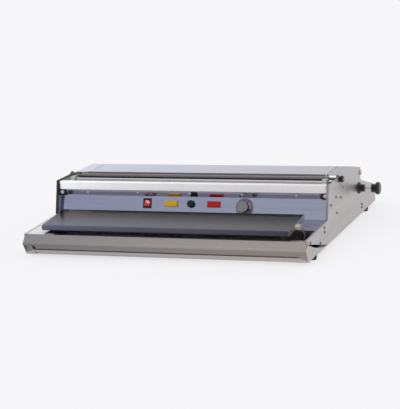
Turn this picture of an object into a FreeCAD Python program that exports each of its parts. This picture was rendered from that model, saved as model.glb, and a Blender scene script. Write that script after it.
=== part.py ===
import FreeCAD, Part
import math
import os
import re
import Sketcher

# Table-top film wrapping machine: a folded stainless body on four rubber feet,
# a sloping hot plate over a tray, a raked control panel under a hot-wire cutter bar,
# two film rollers, a hinged lid and a pair of core holders for the film roll behind.
# Frame: X across (right is plus), Y from front to rear, Z up, millimetres.
# The origin lies on the floor under the middle of the footprint.

# Lengths called ..._y run back from a front datum, half the depth ahead of the origin.
# Lengths called ..._h run up from the lower edge of the side plates.
SIZES = {
    # body
    "width": 600,
    "depth": 565,
    "gauge": 1,
    "foot_height": 7,
    "seat_gap": 0.3,
    "run_gap": 0.08,
    # side plates, from the tray in front to the low tail behind
    "nose_y": 4,
    "tray_side_h": 43,
    "step_y": 158,
    "step_h": 48.6,
    "brow_y": 175,
    "top_h": 117,
    "ridge_y": 364,
    "rear_top_y": 437,
    "rear_drop": 16,
    "rear_low_y": 432,
    "rear_low_h": 77,
    "tail_front_y": 446,
    "tail_front_h": 70,
    "tail_rear_h": 40,
    "tail_run": 10,
    "tail_corner_h": 28,
    "heel_run": 4,
    "toe_h": 36,
    "toe_y": 6,
    "cut_rear_y": 151,
    "tray_hem": 5,
    "top_flange": 30,
    "top_flange_y": 300,
    # slanted slot under the end of the feed roller
    "slot_front_y": 258,
    "slot_front_drop": 13,
    "slot_rear_y": 291,
    "slot_rear_drop": 32,
    "slot_width": 2.2,
    # front rail
    "rail_top_y": 6,
    "rail_top_h": 41,
    "rail_hem": 11,
    "ridge_out": 6,
    "ridge_h": 24,
    "ridge_lip": 4,
    "recess_top_h": 18,
    "recess_low_h": 10,
    "recess_y": 10,
    "skirt_y": 6,
    "skirt_h": 8.5,
    "rail_foot_y": 8,
    "rail_return": 22,
    "crescent": 6,
    "corner_top": 9,
    "corner_low": 24,
    # base pan and rear rail
    "pan_edge": 11,
    "pan_rear_gap": 6,
    "rear_return": 22,
    "rear_hem": 12,
    # control panel with its apron and the mirror visor above it
    "apron_y": 88,
    "apron_h": 44,
    "apron_lip": 8,
    "wall_y": 154,
    "wall_foot": 14,
    "crease_y": 168,
    "crease_h": 46,
    "panel_top_y": 182,
    "panel_drop": 31,
    "visor_y": 174,
    "visor_drop": 19,
    "visor_inset": 20,
    # electrics cover behind the panel
    "cover_rear_y": 240,
    "cover_front_y": 195,
    "cover_drop": 26,
    "cover_lip": 8,
    # hot plate
    "plate_front_y": 12,
    "plate_front_h": 48,
    "plate_depth": 110,
    "plate_thick": 11,
    "plate_tilt": 5.2,
    "plate_end_gap": 37.5,
    "plate_round": 4,
    "cloth_thick": 0.5,
    "mat_thick": 1.6,
    "mat_margin": 10,
    "mat_end_margin": 30,
    "web_y": 24,
    "web_length": 56,
    "web_inset": 8,
    "web_flange": 13,
    # cutter bar
    "bar_y": 176,
    "bar_drop": 18,
    "bar_depth": 12,
    "bar_height": 17,
    "bar_end_gap": 6,
    "sleeve": 1,
    "bar_round": 2.5,
    "block_width": 16,
    "block_drop": 13,
    "block_set_back": 2,
    "block_screw_head": 5,
    "block_screw_crown": 2.3,
    # feed roller with its end knobs
    "roller_y": 262,
    "roller_drop": 6,
    "roller_radius": 5,
    "roller_end_gap": 23,
    "roller_shaft": 3,
    "end_knob_radius": 6.9,
    "end_knob_length": 8,
    "holder_length": 40,
    "holder_width": 11,
    "holder_slant": 28,
    "holder_thick": 2,
    # nip roller
    "nip_y": 221,
    "nip_drop": 7.5,
    "nip_radius": 5.5,
    "nip_end_gap": 26,
    "nip_journal": 3,
    "nip_journal_length": 6,
    "bearing_width": 10,
    "bearing_y": 24,
    "bearing_top": 9,
    # lid
    "lid_front_y": 270,
    "lid_side_gap": 32,
    "lid_lip": 9,
    "lid_skirt": 14,
    "lid_strip": 1.5,
    "lid_strip_rise": 1.5,
    "hinge_in": 7,
    "hinge_drop": 10,
    "hinge_pin": 2.5,
    "hinge_head": 6,
    "hinge_dome": 4,
    "ear_radius": 6.5,
    "rest_reach": 40,
    "rest_leg": 10,
    "rest_length": 58,
    # core holders for the film roll
    "spindle_y": 418,
    "spindle_h": 59,
    "spindle_radius": 3,
    "bush_radius": 6,
    "bush_flange": 12.5,
    "bush_flange_thick": 3,
    "bush_hub": 8,
    "bush_hub_length": 10,
    "bush_length": 12,
    "cone_small": 12,
    "cone_large": 20,
    "cone_length": 30,
    "cone_in": 38,
    "collar_radius": 5.5,
    "collar_length": 4,
    "knob_stand_off": 28,
    "knob_hub_radius": 9.2,
    "knob_hub_length": 9,
    "knob_radius": 13.5,
    "knob_length": 9,
    # controls on the panel, measured across from the middle and up from the crease
    "control_up": 27,
    "rocker_x": -95,
    "rocker_width": 18,
    "rocker_height": 21,
    "rocker_body_depth": 18,
    "rocker_frame": 2,
    "rocker_swing": 6,
    "rocker_clear": 2,
    "lamp_width": 28,
    "lamp_height": 13,
    "lamp_stand": 4,
    "lamp_body_depth": 22,
    "yellow_lamp_x": -41,
    "red_lamp_x": 53,
    "fuse_x": 3,
    "fuse_radius": 8,
    "fuse_neck": 5,
    "fuse_stand": 9,
    "fuse_body_depth": 26,
    "dial_x": 120,
    "dial_up": 22,
    "bezel_radius": 19,
    "bezel_thick": 2,
    "dial_radius": 12,
    "dial_length": 13,
    "dial_stem": 3,
    "thermostat_size": 32,
    "thermostat_depth": 24,
    # rubber edge trim on the left plate
    "trim_width": 6,
    "trim_end_y": 240,
    # ceramic terminal at the right end of the hot plate
    "terminal_y": 38,
    "terminal_length": 14,
    "terminal_reach": 9,
    "terminal_height": 8,
    "lead_radius": 1.3,
    "lead_pitch": 5,
    # feet, gland and screws
    "foot_radius": 9,
    "foot_taper": 1.5,
    "foot_boss": 5,
    "foot_x": 7,
    "front_foot_y": 60,
    "rear_foot_in": 80,
    "gland_y": 215,
    "gland_h": 26,
    "gland_radius": 8,
    "gland_bore": 3.5,
    "gland_stand": 7,
    "screw_head": 3,
    "screw_crown": 1.5,
    "screw_shank": 1.5,
    "screw_hole": 1.8,
    "visor_screw_pitch": 115,
    "visor_screw_up": 7.5,
}

# Screws in each side plate: back from the front datum and up from the lower edge.
SIDE_SCREWS = {
    "tray": (26, 34.5),
    "pan": (96, 17),
    "apron_low": (129, 31),
    "apron_high": (130, 40),
    "panel": (185, 73),
    "cover_low": (229, 47),
    "bearing": (226, 81),
    "slot_low": (264, 72),
    "foot_high": (439, 19),
    "foot_low": (438, 12),
}
for label, (screw_y, screw_h) in SIDE_SCREWS.items():
    SIZES[f"screw_{label}_y"] = screw_y
    SIZES[f"screw_{label}_h"] = screw_h

RIGHT = 1
LEFT = -1
SIDES = {"right": RIGHT, "left": LEFT}
FULL_TURN = 360
NEAR = 0.01

doc = FreeCAD.newDocument("FilmWrapper")
sheet = doc.addObject("Spreadsheet::Sheet", "Sizes")
for row, (alias, size) in enumerate(SIZES.items(), 1):
    sheet.set(f"A{row}", alias)
    sheet.set(f"B{row}", str(size))
    sheet.setAlias(f"B{row}", alias)
doc.recompute()

WORD = re.compile(r"[a-z_][a-z0-9_]*")
FINISHED = []


def ex(text):
    """Formula in which every named size points at its cell."""
    return WORD.sub(lambda word: "Sizes." * (word.group() in SIZES) + word.group(), text)


def value(text):
    """Number that a formula of the sheet gives now."""
    return float(FreeCAD.Units.Quantity(sheet.evalExpression(ex(text))).Value)


def back(text):
    """Y of a place that lies this far behind the front datum."""
    return f"({text} - depth / 2)"


def high(text):
    """Z of a place that lies this far above the lower edge of the side plates."""
    return f"({text} + foot_height)"


def spot(across_back, up):
    return back(across_back), high(up)


INNER = "(width / 2 - gauge)"
REAR_TOP = "(top_h - rear_drop)"
BAR_LOW = "(top_h - bar_drop)"
BAR_TOP = f"({BAR_LOW} + bar_height)"
ROLLER_H = "(top_h - roller_drop)"
NIP_H = "(top_h - nip_drop)"
PANEL_TOP = "(top_h - panel_drop)"
VISOR_TOP = "(top_h - visor_drop)"
COVER_TOP = "(top_h - cover_drop)"
HINGE_Y = "(rear_top_y - hinge_in)"
HINGE_H = f"({REAR_TOP} - hinge_drop)"
CONE_AT = "(width / 2 - cone_in)"
PAN_FLOOR = "(2 * gauge)"
PANEL_LEAN = f"atan((panel_top_y - crease_y) / ({PANEL_TOP} - crease_h))"
PANEL_RISE = f"atan(({PANEL_TOP} - crease_h) / (panel_top_y - crease_y))"


def new_body(label):
    body = doc.addObject("PartDesign::Body", label)
    body.Label = label
    FINISHED.append(body)
    return body


def new_sketch(body, role, offset="0"):
    """Sketch on one of the body's own planes, moved along its normal."""
    plane = next(item for item in body.Origin.OriginFeatures if item.Role == role)
    sketch = body.newObject("Sketcher::SketchObject", f"{body.Label}_sketch")
    sketch.AttachmentSupport = [(plane, "")]
    sketch.MapMode = "FlatFace"
    sketch.setExpression("AttachmentOffset.Base.z", ex(offset))
    return sketch


def hold(sketch, element, point, across, up):
    """Hold one point of a sketch at two formulas."""
    for kind, axis, text in (("DistanceX", -2, across), ("DistanceY", -1, up)):
        if text == "0":
            sketch.addConstraint(Sketcher.Constraint("PointOnObject", element, point, axis))
            continue
        index = sketch.addConstraint(Sketcher.Constraint(kind, -1, 1, element, point, value(text)))
        sketch.setExpression(f"Constraints[{index}]", ex(text))


def outline(sketch, points):
    """Closed outline through corners held at formulas."""
    first = sketch.GeometryCount
    places = [FreeCAD.Vector(value(across), value(up), 0) for across, up in points]
    count = len(places)
    sketch.addGeometry([Part.LineSegment(places[i], places[(i + 1) % count]) for i in range(count)], False)
    sketch.addConstraint([Sketcher.Constraint("Coincident", first + i, 2, first + (i + 1) % count, 1)
                          for i in range(count)])
    for i, (across, up) in enumerate(points):
        hold(sketch, first + i, 1, across, up)


def circle(sketch, across, up, radius):
    index = sketch.addGeometry(Part.Circle(FreeCAD.Vector(value(across), value(up), 0),
                                           FreeCAD.Vector(0, 0, 1), value(radius)), False)
    hold(sketch, index, 3, across, up)
    rule = sketch.addConstraint(Sketcher.Constraint("Radius", index, value(radius)))
    sketch.setExpression(f"Constraints[{rule}]", ex(radius))


def folded(sketch, points, turn=1):
    """Section of a folded sheet: a run of straight flats with the gauge laid off to one side.

    The flats face outward through the points given; turn is 1 where the metal lies
    to the left of the run and -1 where it lies to the right.
    """
    outer = [FreeCAD.Vector(value(across), value(up), 0) for across, up in points]
    thick = value("gauge")
    inner = offset_run(outer, turn * thick)
    first = sketch.GeometryCount
    count = len(outer)
    loop = outer + inner[::-1]
    size = len(loop)
    sketch.addGeometry([Part.LineSegment(loop[i], loop[(i + 1) % size]) for i in range(size)], False)
    sketch.addConstraint([Sketcher.Constraint("Coincident", first + i, 2, first + (i + 1) % size, 1)
                          for i in range(size)])
    for i, (across, up) in enumerate(points):
        hold(sketch, first + i, 1, across, up)
    for i in range(count - 1):
        mate = first + size - 2 - i
        sketch.addConstraint(Sketcher.Constraint("Parallel", first + i, mate))
        rule = sketch.addConstraint(Sketcher.Constraint("Distance", mate, 1, first + i, thick))
        sketch.setExpression(f"Constraints[{rule}]", ex("gauge"))
    sketch.addConstraint(Sketcher.Constraint("Perpendicular", first + count - 1, first + count - 2))
    sketch.addConstraint(Sketcher.Constraint("Perpendicular", first + size - 1, first))


def offset_run(places, distance):
    """Places of a run moved sideways, with mitred corners."""
    normals = []
    for start, end in zip(places, places[1:]):
        along = (end - start).normalize()
        normals.append(FreeCAD.Vector(-along.y, along.x, 0))
    moved = [places[0] + normals[0] * distance]
    for place, before, after in zip(places[1:-1], normals, normals[1:]):
        bisector = before + after
        moved.append(place + bisector * (distance / (1 + before.dot(after))))
    moved.append(places[-1] + normals[-1] * distance)
    return moved


def pad(body, sketch, length, reverse=False):
    feature = body.newObject("PartDesign::Pad", f"{body.Label}_pad")
    feature.Profile = sketch
    feature.Reversed = reverse
    feature.setExpression("Length", ex(length))
    sketch.Visibility = False
    body.Tip = feature
    return feature


def pad_both_ways(body, sketch, length):
    feature = pad(body, sketch, length)
    feature.SideType = "Symmetric"
    return feature


def pocket_through(body, sketch):
    """Cut right through the body on both sides of the sketch."""
    doc.recompute()
    before = body.Shape.Volume
    feature = body.newObject("PartDesign::Pocket", f"{body.Label}_pocket")
    feature.Profile = sketch
    feature.Type = "ThroughAll"
    feature.SideType = "Symmetric"
    body.Tip = feature
    doc.recompute()
    if body.Shape.Volume >= before:
        raise ValueError(f"{body.Label}: a cut took nothing away")
    return feature


def turned(body, points):
    """Body of revolution about its own Z axis; points are radius and height."""
    sketch = new_sketch(body, "XZ_Plane")
    outline(sketch, points)
    feature = body.newObject("PartDesign::Revolution", f"{body.Label}_turning")
    feature.Profile = sketch
    feature.ReferenceAxis = (sketch, ["V_Axis"])
    feature.Angle = FULL_TURN
    sketch.Visibility = False
    body.Tip = feature
    return feature


def round_edges(body, radius, wanted):
    """Fillet every edge that the test picks."""
    doc.recompute()
    base = body.Tip
    names = [f"Edge{i}" for i, edge in enumerate(base.Shape.Edges, 1) if wanted(edge)]
    feature = body.newObject("PartDesign::Fillet", f"{body.Label}_fillet")
    feature.Base = (base, names)
    feature.setExpression("Radius", ex(radius))
    body.Tip = feature
    return feature


def runs_along(edge, axis):
    """True for a straight edge along one of the three axes."""
    if edge.Curve.TypeId != "Part::GeomLine":
        return False
    return abs(edge.tangentAt(edge.FirstParameter).dot(axis)) > 1 - NEAR


ALONG_X = FreeCAD.Vector(1, 0, 0)
ALONG_Y = FreeCAD.Vector(0, 1, 0)
ALONG_Z = FreeCAD.Vector(0, 0, 1)


def place(item, across="0", along="0", up="0", axis=ALONG_X, angle="0"):
    """Bind the placement of a sub-part to formulas; a first turn of one degree sets the axis."""
    item.Placement = FreeCAD.Placement(FreeCAD.Vector(), FreeCAD.Rotation(axis, 1))
    item.setExpression("Placement.Base.x", ex(across))
    item.setExpression("Placement.Base.y", ex(along))
    item.setExpression("Placement.Base.z", ex(up))
    item.setExpression("Placement.Rotation.Angle", ex(angle))


def on_axis(item, side, across, along_back, up):
    """Lay a turned piece along X, its own Z pointing out of the machine on this side."""
    place(item, f"{side} * {across}", back(along_back), high(up), ALONG_Y, str(90 * side))


def on_panel(item, across, up):
    """Set a control on the raked panel, its own Z pointing out of the panel."""
    rise = f"({up}) * cos({PANEL_LEAN})"
    run = f"({up}) * sin({PANEL_LEAN})"
    place(item, across, back(f"crease_y + {run}"), high(f"crease_h + {rise}"), ALONG_X, PANEL_RISE)


def side_plate(name, side):
    """Boot-shaped end plate with a hem along the tray and up the brow and a flange for the lid."""
    body = new_body(f"side_plate_{name}")
    face = new_sketch(body, "YZ_Plane")
    outline(face, [
        spot("nose_y", "tray_side_h"),
        spot("step_y", "step_h"),
        spot("brow_y", "top_h"),
        spot("ridge_y", "top_h"),
        spot("rear_top_y", REAR_TOP),
        spot("rear_low_y", "rear_low_h"),
        spot("tail_front_y", "tail_front_h"),
        spot("depth - tail_run", "tail_rear_h"),
        spot("depth", "tail_corner_h"),
        spot("depth - heel_run", "0"),
        spot("cut_rear_y", "0"),
        spot("toe_y", "toe_h"),
    ])
    pad(body, face, "gauge", reverse=side == RIGHT)
    bands = (
        ("tray_hem", [spot("nose_y", "tray_side_h"), spot("step_y", "step_h"), spot("brow_y", "top_h")]),
        ("top_flange", [spot("top_flange_y", "top_h"), spot("ridge_y", "top_h"),
                        spot("rear_top_y", REAR_TOP)]),
    )
    for reach, run in bands:
        band = new_sketch(body, "YZ_Plane")
        folded(band, run, -1)
        pad(body, band, reach, reverse=side == RIGHT)
    openings = new_sketch(body, "YZ_Plane")
    circle(openings, *spot("roller_y", ROLLER_H), "roller_shaft + run_gap")
    circle(openings, *spot(HINGE_Y, HINGE_H), "hinge_pin + run_gap")
    circle(openings, *spot("spindle_y", "spindle_h"), "bush_radius + run_gap")
    for label in SIDE_SCREWS:
        circle(openings, *spot(f"screw_{label}_y", f"screw_{label}_h"), "screw_hole")
    if side == LEFT:
        circle(openings, *spot("gland_y", "gland_h"), "gland_radius - gauge")
    outline(openings, [
        spot("slot_front_y", "top_h - slot_front_drop + slot_width / 2"),
        spot("slot_rear_y", "top_h - slot_rear_drop + slot_width / 2"),
        spot("slot_rear_y", "top_h - slot_rear_drop - slot_width / 2"),
        spot("slot_front_y", "top_h - slot_front_drop - slot_width / 2"),
    ])
    pocket_through(body, openings)
    place(body, f"{side} * width / 2")


def front_rail():
    """Folded front rail with a shadow recess, a gusset and a corner tab at each end."""
    body = new_body("front_rail")
    section = new_sketch(body, "YZ_Plane")
    folded(section, [
        spot("rail_top_y + rail_hem", "rail_top_h"),
        spot("rail_top_y", "rail_top_h"),
        spot("-ridge_out", "ridge_h"),
        spot("-ridge_out", "ridge_h - ridge_lip"),
        spot("recess_y", "recess_top_h"),
        spot("recess_y", "recess_low_h"),
        spot("skirt_y", "skirt_h"),
        spot("rail_foot_y", "0"),
        spot("rail_foot_y + rail_return", "0"),
    ])
    pad_both_ways(body, section, "width - 2 * gauge")
    for side in (LEFT, RIGHT):
        gusset(body, side)
        corner = new_sketch(body, "XZ_Plane", f"-{back('skirt_y')}")
        outline(corner, [
            (f"{side} * {INNER}", high("0")),
            (f"{side} * ({INNER} - corner_low)", high("0")),
            (f"{side} * ({INNER} - corner_top)", high("ridge_h - gauge")),
            (f"{side} * {INNER}", high("ridge_h - gauge")),
        ])
        pad(body, corner, "gauge", reverse=True)


def gusset(body, side):
    """End gusset: its upper edge sags below the side plate and leaves a crescent gap."""
    sketch = new_sketch(body, "YZ_Plane", f"{side} * {INNER}")
    top = spot("rail_top_y", "toe_h - seat_gap")
    ridge = spot("-ridge_out", "ridge_h")
    toe = spot("rail_foot_y", "0")
    heel = spot("cut_rear_y", "0")
    run, drop = "(cut_rear_y - rail_top_y)", "(toe_h - seat_gap)"
    radius = f"(({run} * {run} + {drop} * {drop}) / 4 + crescent * crescent) / (2 * crescent)"
    points = [FreeCAD.Vector(value(across), value(up), 0) for across, up in (top, ridge, toe, heel)]
    fall = (points[3] - points[0]).normalize()
    below = FreeCAD.Vector(fall.y, -fall.x, 0) * value("crescent")
    sketch.addGeometry([Part.LineSegment(start, end) for start, end in zip(points, points[1:])]
                       + [Part.Arc(points[0], (points[0] + points[3]) * 0.5 + below, points[3])], False)
    sketch.addConstraint([
        Sketcher.Constraint("Coincident", 0, 2, 1, 1),
        Sketcher.Constraint("Coincident", 1, 2, 2, 1),
        Sketcher.Constraint("Coincident", 2, 2, 3, 2),
        Sketcher.Constraint("Coincident", 3, 1, 0, 1),
    ])
    rule = sketch.addConstraint(Sketcher.Constraint("Radius", 3, value(radius)))
    sketch.setExpression(f"Constraints[{rule}]", ex(radius))
    hold(sketch, 0, 1, *top)
    hold(sketch, 1, 1, *ridge)
    hold(sketch, 2, 1, *toe)
    hold(sketch, 2, 2, *heel)
    pad(body, sketch, "gauge", reverse=side == LEFT)


def base_pan():
    """Shallow floor pan with turned-up edges, lying on the returns of the front and rear rails."""
    body = new_body("base_pan")
    plan = new_sketch(body, "XY_Plane", high("gauge"))
    edge = ("-" + INNER, INNER)
    front, rear = back("recess_y + gauge + seat_gap"), back("depth - pan_rear_gap")
    outline(plan, [(edge[0], front), (edge[1], front), (edge[1], rear), (edge[0], rear)])
    pad(body, plan, "pan_edge")
    room = new_sketch(body, "XY_Plane", high(PAN_FLOOR))
    outline(room, [(f"{edge[0]} + gauge", f"{front} + gauge"), (f"{edge[1]} - gauge", f"{front} + gauge"),
                   (f"{edge[1]} - gauge", f"{rear} - gauge"), (f"{edge[0]} + gauge", f"{rear} - gauge")])
    hollow = body.newObject("PartDesign::Pocket", "base_pan_hollow")
    hollow.Profile = room
    hollow.Reversed = True
    hollow.setExpression("Length", ex("pan_edge"))
    body.Tip = hollow


def rear_rail():
    """Rear rail that closes the tail and turns under the pan."""
    body = new_body("rear_rail")
    section = new_sketch(body, "YZ_Plane")
    slope = "(tail_front_h - tail_rear_h) / (depth - tail_run - tail_front_y)"
    folded(section, [
        spot("depth - heel_run - rear_return", "0"),
        spot("depth - heel_run", "0"),
        spot("depth", "tail_corner_h"),
        spot("depth - tail_run", "tail_rear_h"),
        spot("depth - tail_run - rear_hem", f"tail_rear_h + rear_hem * {slope}"),
    ])
    pad_both_ways(body, section, f"2 * {INNER}")


def control_panel():
    """Apron, raked panel and forward-leaning visor folded from one sheet, with the control openings."""
    body = new_body("control_panel")
    section = new_sketch(body, "YZ_Plane")
    folded(section, [
        spot("apron_y", "apron_h - apron_lip"),
        spot("apron_y", "apron_h"),
        spot("crease_y", "crease_h"),
        spot("panel_top_y", PANEL_TOP),
    ], -1)
    pad_both_ways(body, section, f"2 * {INNER}")
    visor = new_sketch(body, "YZ_Plane")
    folded(visor, [spot("crease_y", "crease_h"), spot("panel_top_y", PANEL_TOP),
                   spot("visor_y", VISOR_TOP)], -1)
    pad_both_ways(body, visor, "width - 2 * visor_inset")
    windows = new_sketch(body, "XZ_Plane")
    boxes = (
        ("rocker_x", "control_up", "rocker_width / 2 - rocker_frame", "rocker_height / 2 - rocker_frame"),
        ("yellow_lamp_x", "control_up", "lamp_width / 2 - rocker_frame", "lamp_height / 2 - rocker_frame"),
        ("red_lamp_x", "control_up", "lamp_width / 2 - rocker_frame", "lamp_height / 2 - rocker_frame"),
        ("fuse_x", "control_up", "fuse_neck", "fuse_neck"),
        ("dial_x", "dial_up", "dial_stem", "dial_stem"),
    )
    for across, up, half_width, half_height in boxes:
        centre = high(f"crease_h + ({up}) * cos({PANEL_LEAN})")
        wide = f"({half_width} + seat_gap)"
        tall = f"({half_height} + 3 * seat_gap)"
        left, right = f"{across} - {wide}", f"{across} + {wide}"
        low, top = f"{centre} - {tall}", f"{centre} + {tall}"
        outline(windows, [(left, low), (right, low), (right, top), (left, top)])
    pocket_through(body, windows)


def tray_wall():
    """Upright sheet under the apron that closes the electrics off from the tray."""
    body = new_body("tray_wall")
    section = new_sketch(body, "YZ_Plane")
    slope = "(crease_h - apron_h) / (crease_y - apron_y)"
    folded(section, [
        spot("wall_y + wall_foot", PAN_FLOOR),
        spot("wall_y", PAN_FLOOR),
        spot("wall_y", f"apron_h + (wall_y - apron_y) * {slope} - gauge - seat_gap"),
    ], -1)
    pad_both_ways(body, section, f"2 * ({INNER} - gauge - seat_gap)")


def electrics_cover():
    """Bent cover behind the panel that carries the nip roller, notched clear of the edges of the pan."""
    body = new_body("electrics_cover")
    section = new_sketch(body, "YZ_Plane")
    folded(section, [
        spot("cover_rear_y", PAN_FLOOR),
        spot("cover_rear_y", COVER_TOP),
        spot("cover_front_y", COVER_TOP),
        spot("cover_front_y", f"{COVER_TOP} - cover_lip"),
    ], 1)
    pad_both_ways(body, section, f"2 * {INNER}")
    notches = new_sketch(body, "XZ_Plane")
    top = high("gauge + pan_edge + seat_gap")
    for side in (LEFT, RIGHT):
        near, far = f"{side} * ({INNER} - gauge - seat_gap)", f"{side} * width / 2"
        outline(notches, [(near, high("0")), (far, high("0")), (far, top), (near, top)])
    pocket_through(body, notches)


def plate_place(item):
    """Hot plate frame: its own Y runs up the slope from the lower front edge."""
    place(item, "0", back("plate_front_y"), high("plate_front_h"), ALONG_X, "plate_tilt")


PLATE_HALF = "(width / 2 - plate_end_gap)"


def hot_plate():
    """Aluminium heating plate."""
    body = new_body("hot_plate")
    section = new_sketch(body, "YZ_Plane")
    low, rear, top = "cloth_thick", "plate_depth - cloth_thick", "plate_thick - cloth_thick"
    outline(section, [(low, low), (rear, low), (rear, top), (low, top)])
    pad_both_ways(body, section, f"2 * {PLATE_HALF}")
    round_edges(body, "plate_round - cloth_thick", lambda edge: runs_along(edge, ALONG_X))
    plate_place(body)


def hot_plate_cloth():
    """Non-stick cloth sleeve stretched over the plate."""
    body = new_body("hot_plate_cloth")
    section = new_sketch(body, "YZ_Plane")
    outline(section, [("0", "0"), ("plate_depth", "0"), ("plate_depth", "plate_thick"),
                      ("0", "plate_thick")])
    pad_both_ways(body, section, f"2 * {PLATE_HALF} - 2 * cloth_thick")
    round_edges(body, "plate_round", lambda edge: runs_along(edge, ALONG_X))
    bore = new_sketch(body, "YZ_Plane")
    low, rear, top = "cloth_thick", "plate_depth - cloth_thick", "plate_thick - cloth_thick"
    corner = "(plate_round - cloth_thick)"
    rounded_box(bore, low, low, rear, top, corner)
    pocket_through(body, bore)
    plate_place(body)


def rounded_box(sketch, left, low, right, top, corner):
    """Box outline with quarter-round corners."""
    x0, y0, x1, y1, r = (value(text) for text in (left, low, right, top, corner))
    half = r * (1 - math.sqrt(0.5))
    corners = (
        ((x0, y0 + r), (x0 + half, y0 + half), (x0 + r, y0)),
        ((x1 - r, y0), (x1 - half, y0 + half), (x1, y0 + r)),
        ((x1, y1 - r), (x1 - half, y1 - half), (x1 - r, y1)),
        ((x0 + r, y1), (x0 + half, y1 - half), (x0, y1 - r)),
    )
    first = sketch.GeometryCount
    shapes = []
    for i, (start, middle, end) in enumerate(corners):
        shapes.append(Part.Arc(*(FreeCAD.Vector(*point, 0) for point in (start, middle, end))))
        shapes.append(Part.LineSegment(FreeCAD.Vector(*end, 0), FreeCAD.Vector(*corners[(i + 1) % 4][0], 0)))
    sketch.addGeometry(shapes, False)
    ends = []
    for i in range(4):
        arc = sketch.Geometry[first + 2 * i]
        near = arc.StartPoint.distanceToPoint(FreeCAD.Vector(*corners[i][0], 0)) < NEAR
        ends.append((1, 2) if near else (2, 1))
    for i in range(4):
        arc, line, following = first + 2 * i, first + 2 * i + 1, first + 2 * ((i + 1) % 4)
        sketch.addConstraint(Sketcher.Constraint("Tangent", arc, ends[i][1], line, 1))
        sketch.addConstraint(Sketcher.Constraint("Tangent", line, 2, following, ends[(i + 1) % 4][0]))
    for i in (1, 2, 3):
        sketch.addConstraint(Sketcher.Constraint("Equal", first, first + 2 * i))
    rule = sketch.addConstraint(Sketcher.Constraint("Radius", first, r))
    sketch.setExpression(f"Constraints[{rule}]", ex(corner))
    sketch.addConstraint(Sketcher.Constraint("Horizontal", first + 1))
    sketch.addConstraint(Sketcher.Constraint("Vertical", first + 3))
    for kind, point, text in (("DistanceY", (first + 1, 1), low), ("DistanceX", (first + 3, 1), right),
                              ("DistanceY", (first + 5, 1), top), ("DistanceX", (first + 7, 1), left)):
        rule = sketch.addConstraint(Sketcher.Constraint(kind, -1, 1, *point, value(text)))
        sketch.setExpression(f"Constraints[{rule}]", ex(text))


def heater_mat():
    """Silicone heating mat under the plate."""
    body = new_body("heater_mat")
    plan = new_sketch(body, "XY_Plane", "-mat_thick")
    half = f"({PLATE_HALF} - mat_end_margin)"
    outline(plan, [(f"-{half}", "mat_margin"), (half, "mat_margin"),
                   (half, "plate_depth - mat_margin"), (f"-{half}", "plate_depth - mat_margin")])
    pad(body, plan, "mat_thick")
    plate_place(body)


def plate_bracket(name, side):
    """Web with a foot on the pan and a top flange under the sloping plate."""
    body = new_body(f"plate_bracket_{name}")
    lift = "tan(plate_tilt)"
    start = f"(plate_front_h + (web_y - plate_front_y) * {lift})"
    end = f"(plate_front_h + (web_y + web_length - plate_front_y) * {lift})"
    web = new_sketch(body, "YZ_Plane")
    outline(web, [spot("web_y", PAN_FLOOR), spot("web_y + web_length", PAN_FLOOR),
                  spot("web_y + web_length", end), spot("web_y", start)])
    pad(body, web, "gauge", reverse=side == LEFT)
    foot = new_sketch(body, "YZ_Plane")
    sole = f"{PAN_FLOOR} + gauge"
    outline(foot, [spot("web_y", PAN_FLOOR), spot("web_y + web_length", PAN_FLOOR),
                   spot("web_y + web_length", sole), spot("web_y", sole)])
    pad(body, foot, "web_flange", reverse=side == LEFT)
    flange = new_sketch(body, "YZ_Plane")
    outline(flange, [spot("web_y", start), spot("web_y", f"{start} - gauge"),
                     spot("web_y + web_length", f"{end} - gauge"), spot("web_y + web_length", end)])
    pad(body, flange, "web_flange", reverse=side == LEFT)
    place(body, f"{side} * ({PLATE_HALF} - web_inset - web_flange)")


def terminal():
    """Ceramic terminal on the right end of the hot plate."""
    body = new_body("heater_terminal")
    face = new_sketch(body, "YZ_Plane")
    low = "(plate_thick - terminal_height) / 2"
    outline(face, [("terminal_y", low), ("terminal_y + terminal_length", low),
                   ("terminal_y + terminal_length", f"{low} + terminal_height"),
                   ("terminal_y", f"{low} + terminal_height")])
    pad(body, face, "terminal_reach")
    round_edges(body, "terminal_height / 5", lambda edge: runs_along(edge, ALONG_X))
    place(body, PLATE_HALF, back("plate_front_y"), high("plate_front_h"), ALONG_X, "plate_tilt")


BAR_HALF = "(width / 2 - bar_end_gap)"


# Poles of a heater lead: out from the face of the terminal, back from its middle, up from the pan.
LEAD_COURSE = ((0, 0, 47), (9, 0, 47), (10, 0, 32), (2, 2, 22), (-8, 6, 14), (-8, 14, 0), (-8, 44, 0))


def heater_leads():
    """Two sleeved leads that loop out of the terminal, drop to the pan and run to the tray wall."""
    radius, pitch = value("lead_radius"), value("lead_pitch")
    across = value(f"{PLATE_HALF} + terminal_reach")
    floor = value(high(PAN_FLOOR)) + radius
    wall = value(back("wall_y"))
    pieces = []
    for row in (-0.5, 0.5):
        along = value(back("plate_front_y + terminal_y + terminal_length / 2")) + row * pitch
        places = [FreeCAD.Vector(across + out, along + behind, floor + up)
                  for out, behind, up in LEAD_COURSE]
        places.append(FreeCAD.Vector(places[-1].x, wall, floor))
        curve = Part.BSplineCurve()
        curve.buildFromPoles(places)
        ring = Part.Wire([Part.makeCircle(radius, places[0], ALONG_X)])
        pieces.append(Part.Wire([curve.toShape()]).makePipeShell([ring], True, True))
    collect("heater_leads", pieces)


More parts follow.
